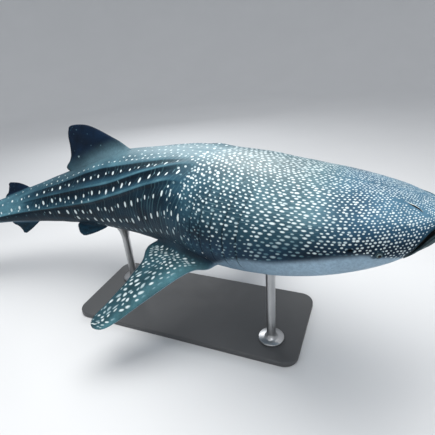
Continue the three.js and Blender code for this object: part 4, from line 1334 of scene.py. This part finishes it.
def skin_material():
    shader = Shader("whale_shark_skin")
    place = shader.place()
    mottle = shader.noise(place, 9.0, 4.0, 0.6)
    grain = shader.noise(place, 210.0, 3.0, 0.6)
    ragged = shader.noise(place, 95.0, 2.0)
    fine, fine_tone, lattice, marks = lattice_spots(shader, ragged)
    weave = weave_share(shader, lattice, marks, ragged, mottle)
    coloured = shader.mix(weave, shaded_ground(shader, place, mottle, grain), rgba(WEAVE_GREY))
    coloured = shader.mix(bar_share(shader, lattice, marks, ragged), coloured, rgba(LINE_TEAL))
    tone = shader.attribute("tone")
    spot = shader.math("ADD", shader.attribute("spot"), shader.math("MULTIPLY_ADD", ragged, 0.36, -0.18))
    for amount, level in ((fine, fine_tone), (shader.ramp(spot, -0.16, 0.22), tone)):
        light = shader.mix(shader.ramp(level, 0.25, 0.8), rgba(SPOT_BLUE), rgba(SPOT_CREAM))
        amount = shader.math("MULTIPLY", amount, shader.ramp(level, 0.02, 0.75, 0.0, 0.95))
        coloured = shader.mix(amount, coloured, light)
    shader.link(coloured, "Base Color")
    shader.link(shader.math("MULTIPLY_ADD", mottle, 0.22, 0.4), "Roughness")
    skin_relief(shader, place, grain)
    shader.set(Specular_IOR_Level=0.12)
    return shader.material


def lining_material():
    shader = Shader("mouth_lining")
    place = shader.place()
    cloud = shader.noise(place, 16.0, 4.0)
    # The near-black colour is painted shade deep inside the mouth
    shader.link(shader.mix(cloud, rgba((0.006, 0.008, 0.009)), rgba((0.035, 0.04, 0.04))), "Base Color")
    shader.link(shader.bump(shader.noise(place, 60.0, 3.0), 0.006, 0.6), "Normal")
    shader.link(shader.math("MULTIPLY_ADD", cloud, 0.3, 0.35), "Roughness")
    return shader.material


def eye_material():
    shader = Shader("eye_gloss")
    gaze = shader.attribute("gaze")
    place = shader.place()
    fibres = shader.noise(place, 520.0, 3.0)
    iris = shader.mix(fibres, rgba((0.05, 0.085, 0.095)), rgba((0.16, 0.23, 0.24)))
    rim = shader.mix(shader.ramp(gaze, 0.68, 0.8), iris, rgba((0.01, 0.016, 0.02)))
    pupil = rgba((0.0005, 0.0005, 0.001))
    shader.link(shader.mix(shader.ramp(gaze, 0.44, 0.49), pupil, rim), "Base Color")
    shader.link(shader.math("MULTIPLY_ADD", fibres, 0.08, 0.05), "Roughness")
    shader.set(Coat_Weight=0.12, Coat_Roughness=0.03, Specular_IOR_Level=0.15)
    return shader.material


def paint_material():
    shader = Shader("stand_paint")
    place = shader.place()
    cloud = shader.noise(place, 5.0, 4.0)
    speckle = shader.noise(place, 900.0, 2.0)
    shader.link(shader.mix(cloud, rgba((0.05, 0.052, 0.055)), rgba((0.075, 0.078, 0.082))), "Base Color")
    shader.link(shader.math("MULTIPLY_ADD", cloud, 0.2, 0.4), "Roughness")
    shader.link(shader.bump(speckle, 0.0006, 0.5), "Normal")
    return shader.material


def steel_material():
    shader = Shader("stand_steel")
    place = shader.place()
    stretch = shader.node("ShaderNodeMapping", Scale=(60.0, 60.0, 1400.0))
    shader.tree.links.new(place, stretch.inputs["Vector"])
    brush = shader.noise(stretch.outputs["Vector"], 1.0, 3.0)
    cloud = shader.noise(place, 7.0, 3.0)
    shader.link(shader.mix(cloud, rgba((0.42, 0.43, 0.44)), rgba((0.58, 0.585, 0.59))), "Base Color")
    shader.link(shader.math("MULTIPLY_ADD", brush, 0.18, 0.24), "Roughness")
    shader.link(shader.bump(brush, 0.0003, 0.5), "Normal")
    shader.set(Metallic=1.0)
    return shader.material


# Pieces
FLESH = [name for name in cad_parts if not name.startswith(("stand_", "eye_"))]

skin = mesh_object("skin", skin_lofts)
skin.data.materials.append(skin_material())
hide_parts(*FLESH)
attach(skin, "root")


def grid_object(name, points, material, closed=False, values=None):
    """An object from a grid of world points, with a fan where closed."""
    rows, cols = points.shape[:2]
    index = np.arange(rows * cols).reshape(rows, cols)
    beside = np.roll(index, -1, axis=1) if closed else index[:, 1:]
    own = index if closed else index[:, :-1]
    faces = np.stack([own[:-1], beside[:-1], beside[1:], own[1:]], -1).reshape(-1, 4)
    mesh = bpy.data.meshes.new(name)
    polygons = faces.tolist()
    if closed:
        polygons += [index[0][::-1].tolist(), index[-1].tolist()]
    mesh.from_pydata(points.reshape(-1, 3).tolist(), [], polygons)
    mesh.polygons.foreach_set("use_smooth", np.ones(len(polygons), bool))
    if values is not None:
        attribute = mesh.attributes.new(values[0], "FLOAT", "POINT")
        attribute.data.foreach_set("value", values[1].astype(np.float32).ravel())
    mesh.materials.append(material)
    return linked(name, mesh)


def mouth_pocket():
    """Inside of the mouth, hung between the backs of the two lips."""
    upper, lower = (lip_path(rise, LIP_RADIUS * 0.9) for rise in (1, -1))
    share = np.linspace(0, 1, len(upper))
    depth = MOUTH_DEPTH * np.sin(np.pi * share) ** 0.7 + 0.01
    way = axis_at(0.075) - (upper + lower) / 2
    way[:, 2] *= 0.2
    way /= np.linalg.norm(way, axis=1)[:, None]
    back = way * depth[:, None]
    v = np.linspace(0, 1, 24)[None, :, None]
    high, low = (upper + back + UP * 0.05)[:, None], (lower + back - UP * 0.03)[:, None]
    grid = (upper[:, None] * (1 - v) ** 3 + 3 * high * v * (1 - v) ** 2
            + 3 * low * v ** 2 * (1 - v) + lower[:, None] * v ** 3)
    return to_world(grid)


lining = grid_object("mouth_lining", mouth_pocket(), lining_material())
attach(lining, "root")


def eyeball(name, side, material):
    opening, outward, along, over = eye_frame(side)
    centre = opening - outward * EYE_SUNK
    tilt = np.linspace(0.02, np.pi - 0.02, 48)[:, None]
    turn = np.linspace(0, 2 * np.pi, 64, endpoint=False)[None, :]
    cornea = 1 + 0.05 * fade(tilt, 0.3, 0.7)
    ring = np.cos(turn)[..., None] * along + np.sin(turn)[..., None] * over
    points = centre + EYE_RADIUS * cornea[..., None] * (
        np.sin(tilt)[..., None] * ring + np.cos(tilt)[..., None] * outward)
    gaze = np.sin(np.minimum(tilt, np.pi / 2)) + 0 * turn
    piece = grid_object(name, to_world(points), material, True, ("gaze", gaze))
    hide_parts(name.replace("_ball", ""))
    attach(piece, "root")


gloss = eye_material()
eyeball("eye_right_ball", RIGHT, gloss)
eyeball("eye_left_ball", LEFT, gloss)


def lathe(name, x, y, profile, material, sides_round=96):
    profile = np.array(profile)
    turn = np.linspace(0, 2 * np.pi, sides_round, endpoint=False)
    ring = np.stack([np.cos(turn), np.sin(turn)], -1)
    flat = profile[:, None, :1] * ring[None]
    height = np.broadcast_to(profile[:, None, 1:], (*flat.shape[:2], 1))
    points = np.concatenate([flat + (x, y), height], -1)
    return grid_object(name, points, material, True)


def stand_rod(name, at, material):
    under = to_world(body_point(at, 0.0, -float(section_at(at)[1])))
    foot, top, bevel = BASE_THICKNESS + FOOT_GAP, under[2], FOOT_BEVEL
    profile = [
        (AXIS_HOLE, foot), (FOOT_RADIUS - bevel, foot), (FOOT_RADIUS, foot + bevel),
        (FOOT_RADIUS, foot + FOOT_THICKNESS - bevel), (FOOT_RADIUS - bevel, foot + FOOT_THICKNESS),
        (ROD_RADIUS * 1.7, foot + FOOT_THICKNESS), (ROD_RADIUS * 1.45, foot + FOOT_THICKNESS * 1.3),
        (ROD_RADIUS * 1.15, foot + FOOT_THICKNESS * 2.2), (ROD_RADIUS, foot + FOOT_THICKNESS * 4),
        (ROD_RADIUS, top - SADDLE_HEIGHT), (ROD_RADIUS * 1.2, top - SADDLE_HEIGHT * 0.8),
        (SADDLE_RADIUS * 0.62, top - SADDLE_HEIGHT * 0.5),
        (SADDLE_RADIUS * 0.86, top - SADDLE_HEIGHT * 0.2),
        (SADDLE_RADIUS, top - SADDLE_HEIGHT * 0.05), (SADDLE_RADIUS, top + SADDLE_SUNK),
        (AXIS_HOLE, top + SADDLE_SUNK),
    ]
    piece = lathe(name + "_turned", under[0], under[1], profile, material)
    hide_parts(name)
    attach(piece, "root")


steel = steel_material()
for rod_name, rod_at in ROD_STATIONS.items():
    stand_rod(rod_name, rod_at, steel)

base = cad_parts["stand_base"]
base.material_slots[0].material = paint_material()

# Studio
FLOOR_FLAT, FLOOR_CURVE = 15.0, 9.0


def studio_material():
    shader = Shader("studio_floor")
    cloud = shader.noise(shader.place(), 0.6, 2.0)
    shader.link(shader.mix(cloud, rgba((0.66, 0.67, 0.68)), rgba((0.7, 0.71, 0.72))), "Base Color")
    shader.set(Roughness=0.9, Specular_IOR_Level=0.1)
    return shader.material


def studio_floor():
    """Pale floor that curves up far behind the model all round."""
    turn = np.linspace(0, np.pi / 2, 24)
    profile = [(AXIS_HOLE, 0.0), (FLOOR_FLAT / 2, 0.0), (FLOOR_FLAT, 0.0)]
    profile += [(FLOOR_FLAT + FLOOR_CURVE * math.sin(t), FLOOR_CURVE * (1 - math.cos(t)))
                for t in turn[1:]]
    floor = lathe("floor", 0.0, 0.0, profile, studio_material(), 128)
    open_top(floor.data)


def open_top(mesh):
    """Takes the lid off the floor's bowl, so that the sky light comes in."""
    edit = bmesh.new()
    edit.from_mesh(mesh)
    edit.faces.ensure_lookup_table()
    lids = [face for face in edit.faces if len(face.verts) > 4 and face.calc_center_median().z > 1]
    bmesh.ops.delete(edit, geom=lids, context="FACES_ONLY")
    edit.to_mesh(mesh)
    edit.free()


studio_floor()


def area_light(name, place, target, size, power, colour):
    data = bpy.data.lights.new(name, "AREA")
    data.shape = "RECTANGLE"
    data.size, data.size_y = size
    data.energy = power
    data.color = colour
    lamp = linked(name, data)
    lamp.location = place
    lamp.rotation_euler = (Vector(target) - Vector(place)).to_track_quat("-Z", "Y").to_euler()


# Each light: name, place, target, width and height in metres, power in watts, colour
LIGHTS = [
    ("overhead", (0.6, -0.4, 7.5), (0.0, 0.0, 1.6), (8.0, 4.0), 680, (1.0, 0.99, 0.97)),
    ("camera_side", (3.5, -8.0, 4.0), (0.0, 0.0, 1.5), (5.0, 3.0), 130, (0.95, 0.98, 1.0)),
    ("far_side", (-5.0, 7.5, 5.0), (-1.0, 0.0, 1.6), (5.0, 3.0), 180, (0.96, 0.98, 1.0)),
]
SKY_COLOUR, SKY_STRENGTH = (0.92, 0.95, 1.0, 1.0), 0.55


def light_studio():
    for light in LIGHTS:
        area_light(*light)
    world = bpy.data.worlds.new("studio")
    world.use_nodes = True
    sky = world.node_tree.nodes["Background"].inputs
    sky["Color"].default_value = SKY_COLOUR
    sky["Strength"].default_value = SKY_STRENGTH
    bpy.context.scene.world = world


light_studio()

# Camera at the photograph's place
CAMERA_OFFSET = (1.710, -3.548, 1.818)
CAMERA_RIGHT = (0.9243, 0.374, -0.0759)
CAMERA_UP = (-0.1109, 0.4534, 0.8844)
CAMERA_LENS = 31.6


def place_camera():
    data = bpy.data.cameras.new("camera")
    data.lens = CAMERA_LENS
    data.sensor_width = 36
    camera = linked("camera", data)
    right, up = Vector(CAMERA_RIGHT).normalized(), Vector(CAMERA_UP).normalized()
    back = right.cross(up).normalized()
    up = back.cross(right)
    turn = Matrix((right, up, back)).transposed().to_4x4()
    camera.matrix_world = Matrix.Translation(Vector(SHOULDER_POINT) + Vector(CAMERA_OFFSET)) @ turn
    bpy.context.scene.camera = camera


place_camera()
bpy.context.scene.view_settings.view_transform = "Standard"
